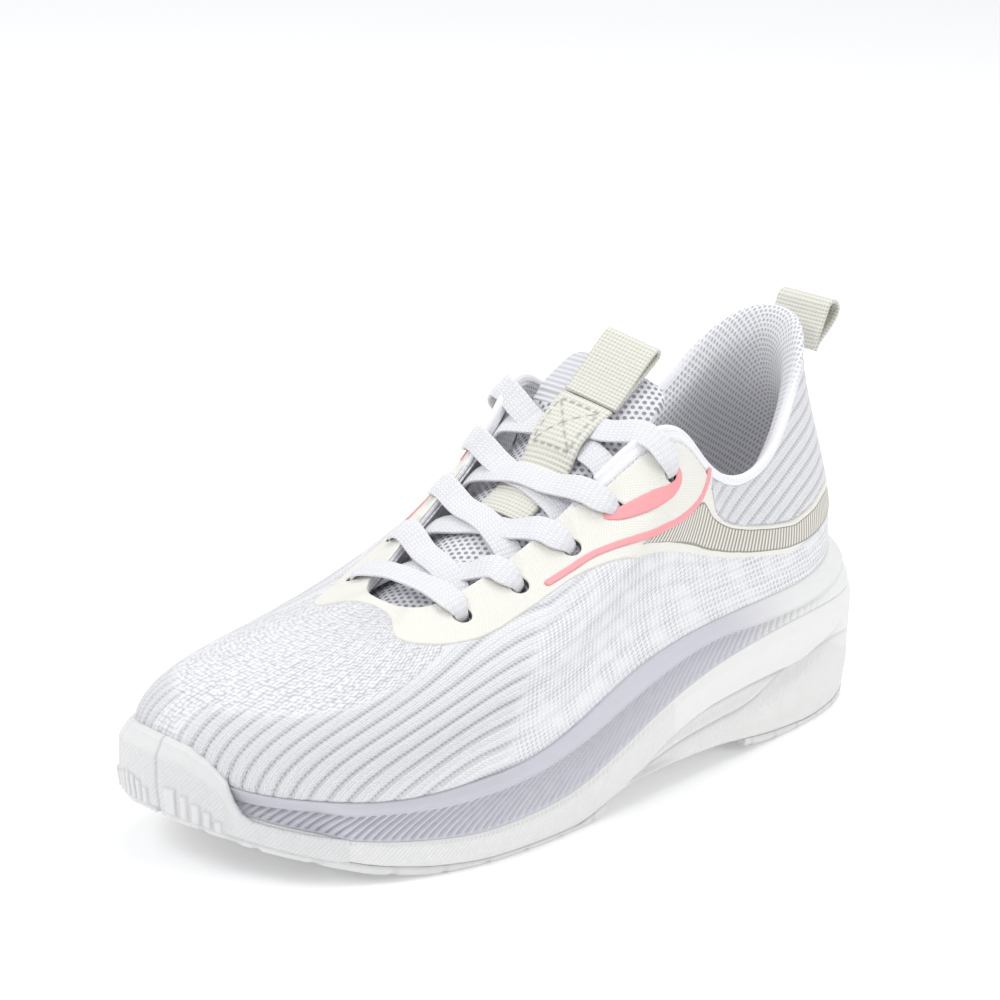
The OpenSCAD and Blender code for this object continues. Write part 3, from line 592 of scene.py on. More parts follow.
def mat_foam(name, hi, lo):
    M = Mat(name, hi, 0.55, spec=0.3, sss=0.0)
    occ, fade, hatch = M.xyz(M.attr("fx"))
    x, y, _ = M.xyz(M.attr("uvm"))
    n = M.noise(260.0, None, 3.0)
    f = M.noise(2600.0, None, 2.0)
    hl = M.sin(M.mul(M.add(x, M.mul(y, 1.0)), TAU / 1.55))
    c = M.mixc(fade, hi, lo)
    # painted shade: the first fx channel (occ) and the hatch grooves darken toward grey; the noise is tone that varies
    # at random, and fade is the lilac-to-white colour change
    dk = M.add(M.add(M.mul(occ, 0.95), M.mul(n, 0.10)), M.mul(M.mul(hatch, M.step(0.2, -0.8, hl)), 0.11), clamp=True)
    c = M.mixc(dk, c, (0.42, 0.42, 0.46))
    M.color(c)
    M.rough(M.add(0.46, M.mul(f, 0.22)))
    M.bump(M.add(M.mul(f, 0.25), M.mul(M.mul(hl, hatch), 0.45)), 0.22, 0.7)
    return M.m


def mat_plain(name, col, rough, scale=1500.0, d=0.1):
    M = Mat(name, col, rough, spec=0.25)
    n = M.noise(scale, None, 3.0)
    M.color(M.mixc(M.mul(n, 0.3), col, tuple(c * 0.8 for c in col)))
    M.rough(M.add(rough - 0.08, M.mul(n, 0.16)))
    M.bump(n, d, 0.5)
    return M.m


KNITM, FILMM, STRM, PINKM = mat_knit(), mat_film(), mat_stripe(), mat_pink()
LINM, TONM, LACEM, WEBM = mat_lining(), mat_tongue(), mat_lace(), mat_web()
LILM = mat_foam("lilac_foam", (0.63, 0.625, 0.685), (0.83, 0.83, 0.82))
WHTM = mat_foam("white_foam", (0.83, 0.83, 0.81), (0.83, 0.83, 0.81))
RUBM = mat_foam("tread_rubber", (0.765, 0.765, 0.76), (0.765, 0.765, 0.76))
# near-black material for the walls of the lace holes: painted shade inside the holes
DARKM = mat_plain("eyelet_painted_shade", (0.16, 0.16, 0.17), 0.9)
BOARDM = mat_plain("board_fabric", (0.72, 0.72, 0.71), 0.9)
STIFFM = mat_plain("stiffener", (0.62, 0.61, 0.58), 0.6)

# ------------------------------------------------------------------ film edges and the fields of the knit
EDGE = np.array([[0,.192],[1.45,.200],[2.1,.215],[2.85,.230],[3.2,.220],[3.55,.238],[3.95,.290],[4.5,.368],[5.3,.446],[6.05,.468],[6.7,.472],
  [7.3,.505],[7.85,.555],[8.35,.640],[8.75,.700],[9.15,.750],[9.5,.775],[9.85,.785],[10.2,.790],[10.6,.795],[10.95,.792],[11.45,.797],[11.9,.81],
  [12.35,.825],[12.9,.845],[13.35,.855],[13.7,.870],[13.95,.885],[14.15,.910],[14.4,.940],[14.65,.955],[15.1,.968],[16,.975]])
_e = np.concatenate([EDGE, [[32 - a, b] for a, b in EDGE[-2::-1]]])


def smooth_table(tab, n=1601, k=9):
    t = np.linspace(0, 32, n)
    y = np.interp(t, tab[:, 0], tab[:, 1])
    w = np.hanning(k + 2)[1:-1]
    w /= w.sum()
    yy = np.concatenate([y[-k - 1:-1], y, y[1:k + 1]])
    yy = np.convolve(yy, w, "same")[k:-k]
    return t, yy


_te, _ye = smooth_table(_e, k=15)


def vedge(t):
    return np.interp(np.asarray(t) % 32, _te, _ye)


def fold(t):
    t = np.asarray(t, float) % 32
    return np.minimum(t, 32 - t)


STLO = np.array([[0, .178], [1.0, .184], [1.7, .195], [2.25, .205], [2.7, .215], [3.05, .232], [3.6, .280], [4.35, .385], [4.85, .450], [5.35, .487], [6.05, .508], [6.9, .520], [7.35, .552], [7.85, .607]])
STUP = np.array([[0, .262], [1.0, .268], [1.4, .280], [2.1, .330], [2.6, .345], [3.3, .385], [3.85, .475], [4.3, .555], [4.8, .625], [5.4, .680], [5.75, .712], [5.95, .755], [6.12, .768], [6.3, .722],
  [6.5, .672], [6.8, .618], [7.1, .594], [7.5, .596], [7.85, .612]])


def soft(tab, u, r=0.12):
    return sum(np.interp(u + d * r, tab[:, 0], tab[:, 1]) * w for d, w in ((-2, .1), (-1, .2), (0, .4), (1, .2), (2, .1)))


VTOP = np.array([[0, .288], [1.0, .294], [1.4, .306], [2.1, .356], [2.6, .371], [3.3, .411], [3.85, .501], [4.3, .581], [4.8, .650], [5.3, .700], [5.55, .732], [5.7, .775], [5.8, .845], [5.88, .905], [6.0, .94],
  [6.5, .945], [8.3, .948], [8.7, .955], [9.0, .972], [9.3, .995], [9.6, 1.0]])


def vtop(t):
    """upper edge of the film: over the heel band, up the wing, along the rolled collar edge, then the throat edge"""
    return np.minimum(soft(VTOP, fold(t), 0.05), 1.0)


def ribfield(t, v):
    """number of the groove on the forefoot and side"""
    u = fold(t)
    T = (u - 12) / 4
    Tc = np.maximum(T, -0.52)
    f = 13.174 - 5.886 * v - 9.441 * Tc + 6.843 * Tc * v - 6.521 * Tc**2 + 0.304 * Tc**2 * v + 2.161 * Tc**3
    return f - 1.2 * (np.minimum(T + 0.52, 0)) * (0.25 - v)


def quarterfield(P):
    return (P[..., 2] + 0.5 * P[..., 0] + 0.0037 * (P[..., 0] + 60) ** 2) / 4.9


def knit_fields(t, v, P):
    u = fold(t)
    ve, vt = vedge(t), vtop(t)
    top = np.interp(u, [11.6, 12.15, 12.5, 13.15, 13.55, 14.4, 15.55, 16.0], [1.0, 0.815, 0.725, 0.59, 0.50, 0.415, 0.355, 0.33])
    front = ss(0.06, -0.05, v - top) * ss(16.05, 15.3, u)
    right = ss(9.15, 9.55, u - 1.15 * np.minimum(v, 0.6))
    upper = ss(0.60, 0.68, v) * ss(8.2, 10.2, u) * 0.9
    rib = front * np.maximum(right, upper)
    vamp = ss(-0.05, 0.06, v - top) * ss(11.4, 12.4, u) + ss(15.3, 16.05, u)
    vamp = np.clip(vamp, 0, 1)
    rear = ss(-0.01, 0.03, v - vt) * ss(6.1, 5.4, u) * ss(0.985, 0.93, v)
    side = np.clip(1 - rib - vamp - rear, 0, 1)
    cover = ss(-0.012, 0.004, v - ve) * ss(0.012, -0.004, v - vt)
    n = ribfield(t, v)
    m = quarterfield(P)
    def prof(x, k=2.0):
        return 1 - np.cos(np.pi * x) ** 2 ** k if False else 1 - (np.cos(np.pi * x) ** 2) ** k
    h = rib * prof(n, 3.6) * 0.75 + rear * prof(m, 3.0) * 0.75
    h += vamp * prof(n, 1.5) * 0.22 + side * prof(n, 1.5) * 0.20
    groove = np.clip(rib * (np.cos(np.pi * n) ** 2) ** 11 + rear * (np.cos(np.pi * m) ** 2) ** 10 * 0.9 + (vamp + side) * (np.cos(np.pi * n) ** 2) ** 4 * 0.22, 0, 1)
    h = h * (1 - cover)
    return dict(rib=rib, vamp=vamp, rear=rear, side=side, cover=cover, n=n, m=m, h=h, groove=groove)


EYES = [(11.9, 0.915), (10.5, 0.9), (9.4, 0.88), (8.55, 0.86), (7.3, 0.825), (19.9, 0.9), (21.4, 0.88), (22.6, 0.87), (23.6, 0.86), (24.8, 0.84)]
EYC = [(S(a, b), nrm(a, b)) for a, b in EYES]

# ------------------------------------------------------------------ knit upper
mt, rv = 860, 96
t = np.linspace(0, 32, mt, endpoint=False)[:, None]
v = np.concatenate([[-0.1, -0.02], np.linspace(0, 0.985, rv)])[None, :]
T, V = np.broadcast_arrays(t, v)
P0 = pt(T, V, 0.0)
fld = knit_fields(T, np.maximum(V, 0), P0)
hh = fld["h"] * ss(-0.01, 0.03, V)
P = P0 + nrm(T, np.maximum(V, 0)) * hh[..., None]
# rolled over the edge and a way down inside
E1 = [pt(t[:, 0], 0.997, 0.12), pt(t[:, 0], 1.0, 0.5), pt(t[:, 0], 1.0, 1.1), pt(t[:, 0], 0.993, 1.55)]
E2 = [pt(t[:, 0], q, 1.62) for q in np.linspace(0.97, 0.25, 14)]
G = np.concatenate([P, np.stack(E1 + E2, 1)], 1)
ne = len(E1) + len(E2)


def ext(a, val=None):
    a = np.broadcast_to(a, P.shape[:2])
    tail = np.repeat(a[:, -1:], ne, 1) if val is None else np.full((mt, ne), val)
    return np.concatenate([a, tail], 1)


arc = np.linalg.norm(np.diff(P0[:, 30], axis=0, append=P0[:1, 30]), axis=-1)
sx = np.concatenate([[0], np.cumsum(arc)[:-1]])[:, None] + 0 * V
vy = np.cumsum(np.concatenate([np.zeros((mt, 1)), np.linalg.norm(np.diff(P0, axis=1), axis=-1)], 1), 1)
along = (P0[..., 2] * 0.8 - P0[..., 0] * 0.75) / 1.35
cols = np.where(fld["rear"] > 0.5, fld["m"] * 3, fld["n"] * 3)
zw = np.stack([ext(np.clip(fld["rib"] + fld["rear"], 0, 1)), ext(fld["side"], 0.3), ext(fld["vamp"], 0.3)], -1)
# the third channel of st is painted shade along the rib grooves; the knit material darkens it in beaded dots
st = np.stack([ext(cols), ext(along), ext(fld["groove"] * (1 - fld["cover"]), 0)], -1)
uvm = np.stack([ext(sx), ext(vy), ext(0 * vy)], -1)
keep = np.ones((mt, G.shape[1] - 1), bool)
punch(G, [], keep, EYC, EYE_R, True)
shell("knit_upper", G, "shoe", KNITM, dict(st=st, zw=zw, uvm=uvm), wrap=True, keep=keep, rep=["upper_knit"], slot="knit")

# ------------------------------------------------------------------ fused film with rounded edges
mt2 = 900
t2 = np.linspace(0, 32, mt2, endpoint=False)[:, None]
w = np.concatenate([[0, .004, .012, .03], np.linspace(0.06, 0.94, 44), [.97, .988, .996, 1]])[None, :]
lo2, hi2 = vedge(t2), vtop(t2)
T2, V2 = np.broadcast_arrays(t2, mix(lo2, hi2, w))
L2 = np.linalg.norm(S(t2, hi2) - S(t2, lo2), axis=-1)
de = np.minimum(w, 1 - w) * L2
up = 0.06 + FILM * np.sqrt(np.clip(1 - (1 - np.clip(de / 0.5, 0, 1)) ** 2, 0, 1))
u2 = fold(T2)
# raised cream border on both sides of the striped zone
s2, s3 = soft(STLO, u2, 0.06), soft(STUP, u2, 0.05)
band = (ss(-0.004, 0.004, V2 - s2) * ss(0.004, -0.004, V2 - s3))
up = up + 0.22 * (1 - band) * ss(7.9, 7.0, u2) * ss(0.0, 0.7, de)
A = pt(T2, V2, -up)
B = pt(T2, V2, np.full(T2.shape, 0.02))
keep = np.ones((mt2, T2.shape[1] - 1), bool)
punch(A, [B], keep, EYC, EYE_R, True)
arc = np.linalg.norm(np.diff(A[:, 20], axis=0, append=A[:1, 20]), axis=-1)
sx2 = np.concatenate([[0], np.cumsum(arc)[:-1]])[:, None] + 0 * V2
vy2 = np.cumsum(np.concatenate([np.zeros((mt2, 1)), np.linalg.norm(np.diff(A, axis=1), axis=-1)], 1), 1)
solid("film_overlay", A, B, "shoe", FILMM, dict(uvm=np.stack([sx2, vy2, 0 * vy2], -1)), wrap=True, keep=keep, rep=["overlay_film"], slot="cream_film")

# ------------------------------------------------------------------ striped print inside the heel band
ts = np.linspace(-7.85, 7.85, 640)[:, None]
ws = np.linspace(0, 1, 17)[None, :]
a0, a1 = soft(STLO, np.abs(ts), 0.06), soft(STUP, np.abs(ts), 0.05)
a1 = np.maximum(a1, a0 + 0.002)
A = pt(ts + 0 * ws, mix(a0, a1, ws), -(0.06 + FILM + 0.10 + 0 * ws))
B = pt(ts + 0 * ws, mix(a0, a1, ws), -(0.06 + FILM - 0.12 + 0 * ws))
arc = np.concatenate([[0], np.cumsum(np.linalg.norm(np.diff(A[:, 7], axis=0), axis=-1))])
k = ss(2.6, 0.5, np.abs(ts)) + 0 * ws
solid("stripe_band", A, B, "shoe", STRM, dict(uvm=np.stack([arc[:, None] * np.ones_like(ws), ws + 0 * ts, k], -1)), rep=["stripe_film"], slot="grey_film")


# ------------------------------------------------------------------ pink print
def cr(P, n):
    """smooth curve through rows of P"""
    P = np.asarray(P, float)
    Q = np.concatenate([[2 * P[0] - P[1]], P, [2 * P[-1] - P[-2]]])
    out = []
    for i in range(len(P) - 1):
        a, b, c, d = Q[i:i + 4]
        for u in np.linspace(0, 1, n, endpoint=False):
            out.append(0.5 * (2 * b + (c - a) * u + (2 * a - 5 * b + 4 * c - d) * u * u + (3 * b - a - 3 * c + d) * u**3))
    out.append(P[-1])
    return np.array(out)


LINE = [[5.86, 0.985, 0.020], [5.93, 0.93, 0.022], [6.05, 0.86, 0.026], [6.25, 0.765, 0.032], [6.5, 0.69, 0.034], [6.8, 0.635, 0.030], [7.1, 0.612, 0.026], [7.6, 0.618, 0.022],
  [8.1, 0.668, 0.020], [8.6, 0.735, 0.019], [9.05, 0.788, 0.018], [9.5, 0.813, 0.016], [10, 0.835, 0.014]]
PATCH = [[7.44, 0.868, 0.002], [7.25, 0.855, 0.012], [7.13, 0.822, 0.015], [7.17, 0.785, 0.018], [7.40, 0.762, 0.025], [7.80, 0.770, 0.030], [8.15, 0.795, 0.028], [8.45, 0.828, 0.023], [8.66, 0.860, 0.016], [8.76, 0.876, 0.010]]


def ribbon(name, L, flip, rep):
    Q = cr(L, 10)
    q = np.linspace(-1, 1, 9)
    d = np.gradient(Q[:, :2], axis=0)
    # true sideways direction on the surface
    P0 = S(Q[:, 0], Q[:, 1])
    n0 = nrm(Q[:, 0], Q[:, 1])
    tg = unit(np.gradient(P0, axis=0))
    side = unit(np.cross(n0, tg))
    rib_len = np.linalg.norm(S(Q[:, 0], Q[:, 1] + 0.01) - S(Q[:, 0], Q[:, 1] - 0.01), axis=-1) / 0.02
    half = np.clip(Q[:, 2] * rib_len, 0.2, 4.0)
    if name.startswith("pink_line"):
        half = np.full(len(Q), 1.05) * np.clip(np.minimum(np.arange(len(Q)), np.arange(len(Q))[::-1]) / 2.0 + 0.5, 0, 1)
    # find (t, v) of the side points by first-order steps
    St = (S(Q[:, 0] + 0.05, Q[:, 1]) - S(Q[:, 0] - 0.05, Q[:, 1])) / 0.1
    Sv = (S(Q[:, 0], Q[:, 1] + 0.01) - S(Q[:, 0], Q[:, 1] - 0.01)) / 0.02
    rows_t, rows_v = [], []
    for k in range(len(Q)):
        M2 = np.stack([St[k], Sv[k]], 1)
        s, *_ = np.linalg.lstsq(M2, side[k], rcond=None)
        rows_t.append(Q[k, 0] + q * half[k] * s[0])
        rows_v.append(Q[k, 1] + q * half[k] * s[1])
    tt, vv = np.array(rows_t), np.minimum(np.array(rows_v), 0.998)
    if flip:
        tt = 32 - tt
    up = FILM + 0.06 + 0.26 + 0.13 * (1 - np.abs(q[None, :]) ** 6)
    A = pt(tt, vv, -up + 0 * tt)
    B = pt(tt, vv, -(FILM + 0.1) + 0 * tt)
    if flip:
        A, B = A[:, ::-1], B[:, ::-1]
    if np.cross(A[1, 0] - A[0, 0], A[0, 1] - A[0, 0]) @ nrm(tt[0, 4], vv[0, 4]) > 0:
        A, B = A[::-1], B[::-1]
    solid(name, A, B, "shoe", PINKM, {}, rep=rep, slot="pink_film")


for sd, fl in (("lateral", False), ("medial", True)):
    ribbon("pink_line_" + sd, LINE, fl, ["accent_line_" + sd])
    ribbon("pink_patch_" + sd, PATCH, fl, ["accent_patch_" + sd])

# ------------------------------------------------------------------ inside of the lace holes: a near-black tube of painted shade
Vw, Fw = [], []
for Pc, N in EYC:
    a = unit(np.cross(N, [0, 0, 1.0]))
    b = np.cross(N, a)
    ang = np.linspace(0, TAU, 32, endpoint=False)
    s = len(Vw)
    for r_, h_ in ((EYE_R + 0.02, 0.3), (EYE_R - 0.12, -0.6), (EYE_R - 0.3, -1.9), (EYE_R - 0.1, -2.6)):
        for q in ang:
            Vw.append(Pc + N * h_ + (a * math.cos(q) + b * math.sin(q)) * r_)
    for j in range(3):
        for i in range(32):
            Fw.append([s + j * 32 + i, s + j * 32 + (i + 1) % 32, s + (j + 1) * 32 + (i + 1) % 32, s + (j + 1) * 32 + i])
make("eyelet_walls", np.array(Vw), np.array(Fw), "shoe", DARKM)

# ------------------------------------------------------------------ padded collar: over the edge, then down inside
CR_ = [1.0, 0.965, 0.91, 0.82, 0.70, 0.56, 0.42, 0.28, 0.14, 0.0]
CD_ = [0.1, 4.6, 7.0, 8.0, 8.0, 6.6, 4.6, 3.3, 3.0, 3.0]


def padding(t):
    u = np.abs(t)
    return np.where(u < 4.5, 1.0, np.maximum(0.1, 1 - (u - 4.5) * 0.28))


def deep(t, v):
    """how deep under the outer face the lining lies"""
    c = np.interp(v, CR_[::-1], CD_[::-1])
    return KNIT + 0.15 + np.maximum(0, c - 1.75) * 0.9 * padding(t) * (v > 0.2) + 0.95 * ss(0.25, 0.15, v)


mc = 560
tc_ = np.linspace(-8.75, 8.75, mc)[:, None]
vo = 0.955 - 0.09 * ss(2.6, 0.4, np.abs(tc_))
rows_, deps_ = [], []
for q in np.linspace(0, 1, 9):
    rows_.append(mix(vo, 0.985, q)[:, 0]); deps_.append(np.full(mc, -0.15) - 0.5 * np.sin(min(q * 2.5, 1) * math.pi / 2))
for v_, d_ in ((0.993, -0.95), (1.0, -1.1), (1.004, -0.7), (1.006, 0.2), (1.004, 1.2), (0.998, 2.4)):
    rows_.append(np.full(mc, v_)); deps_.append(np.full(mc, d_))
vin = np.concatenate([np.linspace(0.985, 0.2, 60), np.linspace(0.17, 0.0, 8), [-0.1, -0.35, -0.6]])
short = ss(6.0, 7.0, np.abs(tc_[:, 0]))
for v0 in vin:
    v_ = mix(v0, 0.985 - (0.985 - v0) * 0.055, short)
    rows_.append(v_)
    dd = deep(tc_[:, 0], np.maximum(v_, 0))
    dd = np.where(v_ > 0.95, np.maximum(dd, mix(2.9, dd, ss(0.985, 0.95, v_))), dd)
    deps_.append(np.where(v_ < 0, 3.0, dd))
VR, DR = np.stack(rows_, 1), np.stack(deps_, 1)
# one smooth crowned section: blur the depth along the rows
for _ in range(6):
    DR[:, 15:-4] = (DR[:, 14:-5] + 2 * DR[:, 15:-4] + DR[:, 16:-3]) / 4
TC2 = tc_ + 0 * VR
Sv_ = S(TC2, np.clip(VR, 0, 1))
A = np.where((VR > 1)[..., None], Sv_ + unit(dS(TC2, np.ones_like(VR))) * ((VR - 1) * 200)[..., None] - nrm(TC2, np.ones_like(VR)) * DR[..., None], pt(TC2, VR, DR))
B = A.copy()
e1, e2 = np.gradient(A, axis=0), np.gradient(A, axis=1)
nn = unit(np.cross(e2, e1))
B = A - nn * 0.7
arc = np.concatenate([[0], np.cumsum(np.linalg.norm(np.diff(Sv_[:, 30], axis=0), axis=-1))])
vy = np.cumsum(np.concatenate([np.zeros((mc, 1)), np.linalg.norm(np.diff(A, axis=1), axis=-1)], 1), 1)
kk = np.where(VR[:, :1] < 2, 1.0, 1.0) * np.ones_like(VR)
fade_e = ss(8.75, 8.35, np.abs(tc_))
out_side = np.zeros_like(VR); out_side[:, :15] = 1
kk = 1 - out_side * ss(1.6, 3.0, np.abs(TC2))
kk = kk * ss(7.4, 6.4, np.abs(TC2))
kk = kk * np.where(np.arange(VR.shape[1])[None, :] < 2, 0.0, 1.0)
shell_o = solid("collar_padding", A, B, "shoe", LINM, dict(uvm=np.stack([arc[:, None] + 0 * vy, vy, kk], -1)), rep=["collar_lining", "collar_foam"], slot="lining_fabric")

# ------------------------------------------------------------------ lining under the lace rows and round the front of the throat
te = np.linspace(6.3, 25.7, 420)[:, None]
ve_ = np.concatenate([np.linspace(0.74, 0.985, 16), [0.996]])[None, :]
A = pt(te + 0 * ve_, ve_ + 0 * te, KNIT + 0.15 + 0 * te * ve_)
B = pt(te + 0 * ve_, ve_ + 0 * te, KNIT + 0.75 + 0 * te * ve_)
kp = np.ones((te.shape[0] - 1, ve_.shape[1] - 1), bool)
punch(B, [A], kp, EYC, EYE_R - 0.15, False)
ax_ = np.concatenate([[0], np.cumsum(np.linalg.norm(np.diff(B[:, 8], axis=0), axis=-1))])[:, None]
solid("eyestay_lining", A, B, "shoe", LINM, dict(uvm=np.stack([ax_ + 0 * ve_, ve_ * 60 + 0 * te, 0.5 + 0 * te * ve_], -1)), keep=kp, rep=["eyestay_backing"], slot="board_fabric")

# ------------------------------------------------------------------ tongue
TCX = np.array([76, 66, 52, 40, 24, 5, -12, -25, -35], float)
TCZ = np.array([57, 61, 66.5, 72, 80, 91, 104, 113.5, 120.5])


def tc(x):
    x = np.asarray(x, float)
    return np.stack([x, np.full_like(x, -2.5), np.interp(-x, -TCX, TCZ)], -1)


def tcs(x):
    """the same line, smoothed"""
    return sum(tc(np.asarray(x) + d) * w_ for d, w_ in ((-5, .15), (-2.5, .2), (0, .3), (2.5, .2), (5, .15))) * [0, 0, 1] + tc(x) * [1, 1, 0]


def tn(x):
    d = unit(tc(np.asarray(x) + 6) - tc(np.asarray(x) - 6))
    return np.stack([-d[..., 2], 0 * d[..., 0], d[..., 0]], -1)


def tp(x, y, d):
    x, y, d = np.broadcast_arrays(np.asarray(x, float), np.asarray(y, float), np.asarray(d, float))
    q = tc(x)
    q[..., 1] += y
    return q - tn(x) * (6.6 * (y / 20) ** 2 + d)[..., None]


def hw(x):
    return np.interp(x, [-36, -33, -27, -12, 5, 24, 40, 52, 66, 76], [14, 17.5, 19, 21, 23.5, 24.5, 22.5, 19.5, 15, 12])


def tilt(x, y):
    """the padded end leans to the outer side and is flatter across than the rest"""
    w_ = ss(-6, -22, x)
    return w_ * (0.19 * y - 4.4 * (y / 20) ** 2)


xs = np.concatenate([np.linspace(76, -30, 150), np.linspace(-30.5, -35, 14)])[:, None]
wy = np.sin(np.linspace(-1, 1, 45) * math.pi / 2)[None, :]
half = np.array([hw(x) for x in xs[:, 0]])
half = np.convolve(np.pad(half, 5, "edge"), np.ones(11) / 11, "valid")[:, None]
endr = np.sqrt(np.clip(1 - np.clip((-31.5 - xs) / 3.6, 0, 1) ** 2, 0.02, 1))
pad_ = ss(-17.5, -25, xs)
crown = pad_ * 1.6 * (1 - wy**2) * endr + 0.15
th = 1.5 + pad_ * (4.6 * np.sqrt(np.clip(1 - wy**2, 0, 1)) * endr)
seam = 0.5 * np.exp(-((xs + 19.2) / 0.9) ** 2)
top_d = -(crown - 0.15) * 0.35 + seam + (1 - endr) * 2.2
yy_ = wy * half * (0.8 + 0.2 * endr)
top_d = top_d + tilt(xs, yy_)
A = tp(xs, yy_, top_d)
B = tp(xs, yy_, np.maximum(top_d + 0.4, th - (1 - endr) * 2.0 + tilt(xs, yy_)))
arc = np.concatenate([[0], np.cumsum(np.linalg.norm(np.diff(A[:, 22], axis=0), axis=-1))])[:, None]
kt = np.where(xs > -14, 1.0, ss(0.25, 0.40, wy) + ss(-14, -17, xs) * 0)
kt = np.clip(kt + 0 * wy, 0, 1)
kt = np.where(xs > -17, 1.0, ss(0.18, 0.34, wy) + 0 * xs)
tongue = solid("tongue", A, B, "shoe", TONM, dict(uvm=np.stack([arc + 0 * wy, wy * half, kt], -1)), ride=False,
               rep=["tongue_base", "tongue_face", "tongue_foam", "tongue_lining"], slot="lining_fabric")
p0, p1 = (tp(-15.2, 0, 3) + OFF) / 1000, (tp(-21.2, 0, 3) + OFF) / 1000
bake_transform(tongue)

# ------------------------------------------------------------------ webbing strap on the tongue, with a box stitch
XS = np.array([19, 15, 11, 6, -0.5, -3.5, -6.2, -11, -15, -18.4, -20])
SH = np.array([.3, .3, .3, .3, .3, 2.3, 4.1, 4.2, 3.8, 2.8, 2.4])
xq = np.linspace(19, -19.4, 112)
sh = np.interp(-xq, -XS, SH)
sh = np.convolve(np.pad(sh, 6, "edge"), np.ones(13) / 13, "valid")
STRAP_W, SIDE = 18.8, 1.4
yq = np.linspace(-1, 1, 43)[None, :] * STRAP_W / 2
edge_r = 0.35 * (1 - np.sqrt(np.clip(1 - np.clip((np.abs(yq) - STRAP_W / 2 + 0.7) / 0.7, 0, 1) ** 2, 0, 1)))
tl_ = tilt(xq[:, None], yq + SIDE)
A = tp(xq[:, None], yq + SIDE, -sh[:, None] - 1.0 + edge_r + tl_)
B = tp(xq[:, None], yq + SIDE, -sh[:, None] - 0.05 + tl_)
X_, Y_ = xq[:, None] + 0 * yq, yq + 0 * xq[:, None]


def dashes(X, Y, x0, x1, y1):
    """running stitches round a box and along its two diagonals"""
    d = np.zeros_like(X)
    for dist, run in ((np.where(np.abs(Y) < y1, np.abs(X - x0), 9), Y), (np.where(np.abs(Y) < y1, np.abs(X - x1), 9), Y),
                      (np.where((X > x0) & (X < x1), np.abs(np.abs(Y) - y1), 9), X)):
        d = np.maximum(d, ss(0.55, 0.25, dist) * ss(0.25, 0.4, np.abs((run / 3.0) % 1 - 0.5) * 2 * 0.6 + 0.1))
    k_ = (X - x0) / (x1 - x0) * 2 - 1
    for sgn in (1, -1):
        dist = np.where((np.abs(k_) < 1), np.abs(Y - sgn * k_ * y1) * 0.8, 9)
        d = np.maximum(d, ss(0.5, 0.22, dist) * ss(0.25, 0.4, np.abs((X / 2.6) % 1 - 0.5) * 2 * 0.6 + 0.1))
    return d


dash = dashes(X_, Y_, -17.0, -4.0, 7.2)
strap = solid("tongue_strap_web", A, B, "shoe", WEBM, dict(uvm=np.stack([X_, Y_, dash], -1)), ride=False, rep=["tongue_strap"], slot="webbing")
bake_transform(strap)


# ------------------------------------------------------------------ webbing loops
def loop(name, body, rep, origin, ux, uz, length, gap, th, roll=0.0, root=None, wide=LOOP_W):
    """closed band: out along ux, round the end, and back, gap apart along uz"""
    R_ = (gap + th) / 2
    L = length - gap / 2
    pts = [(q * L, th / 2 + 0.15 * math.sin(q * math.pi)) for q in np.linspace(0, 1, 26)]
    pts += [(L + (R_ + th * 0.2) * math.sin(a), th / 2 + R_ - R_ * math.cos(a)) for a in np.linspace(0.08, math.pi - 0.08, 26)]
    end = th * 1.5 if root is None else root
    pts += [(L - q * (L + (0.3 if root else 0)), mix(th / 2 + 2 * R_, end, ss(0.0, 1, q))) for q in np.linspace(0, 1, 26)]
    yv = np.array([0, 1.0, 0])
    uz = uz * math.cos(roll) + yv * math.sin(roll)
    c = np.array(pts)
    d = unit(np.gradient(c, axis=0))
    nrm2 = np.stack([-d[:, 1], d[:, 0]], 1)
    w_ = np.linspace(-1, 1, 35)
    th_e = th * (0.5 - 0.14 * np.clip((np.abs(w_) - 0.93) / 0.07, 0, 1) ** 2)
    uy = np.cross(uz, ux)
    def place(c2, y):
        return origin + c2[:, None, 0:1] * ux + c2[:, None, 1:2] * uz + y[None, :, None] * uy
    s = np.concatenate([[0], np.cumsum(np.linalg.norm(np.diff(c, axis=0), axis=-1))])
    A = place(c, w_ * wide / 2) + (nrm2[:, 0][:, None, None] * ux + nrm2[:, 1][:, None, None] * uz) * th_e[None, :, None]
    B = place(c, w_ * wide / 2) - (nrm2[:, 0][:, None, None] * ux + nrm2[:, 1][:, None, None] * uz) * th_e[None, :, None]
    a = dict(uvm=np.stack([s[:, None] + 0 * w_, w_[None, :] * wide / 2 + 0 * s[:, None], 0 * s[:, None] * w_], -1))
    solid(name, A, B, body, WEBM, a, rep=rep, slot="webbing")


a_, n_ = tc(-20.4), tn(-20.4)
d_ = np.array([-n_[2], 0, n_[0]])
if d_[0] > 0:
    d_ = -d_
loop("tongue_loop_web", "tongue_loop", ["tongue_pull_loop"], a_ + n_ * 0.9 + np.array([0, SIDE, 0]), d_, n_, 23.6, 2.6, 1.15, math.radians(14), 1.4, STRAP_W)
q_ = math.radians(-115)
ux_ = np.array([math.cos(q_), 0, -math.sin(q_)])
uz_ = np.array([math.sin(q_), 0, math.cos(q_)])
loop("heel_loop_web", "heel_loop", ["heel_pull_loop"], np.array([-115.3, -2.5, 112.8]), ux_, uz_, 16.5, 4.6, 1.15)


# ------------------------------------------------------------------ lace, along the same route as the CAD
EYL, EYM = EYES[:5], EYES[5:]


def eye(s, i):
    return EYL[i] if s > 0 else EYM[i]


def N1(t, v):
    return nrm(np.array(float(t)), np.array(float(v)))


def S1(t, v):
    return S(np.array(float(t)), np.array(float(v)))


def U1(t):
    return unit(dS(np.array(float(t)), np.array(1.0)))


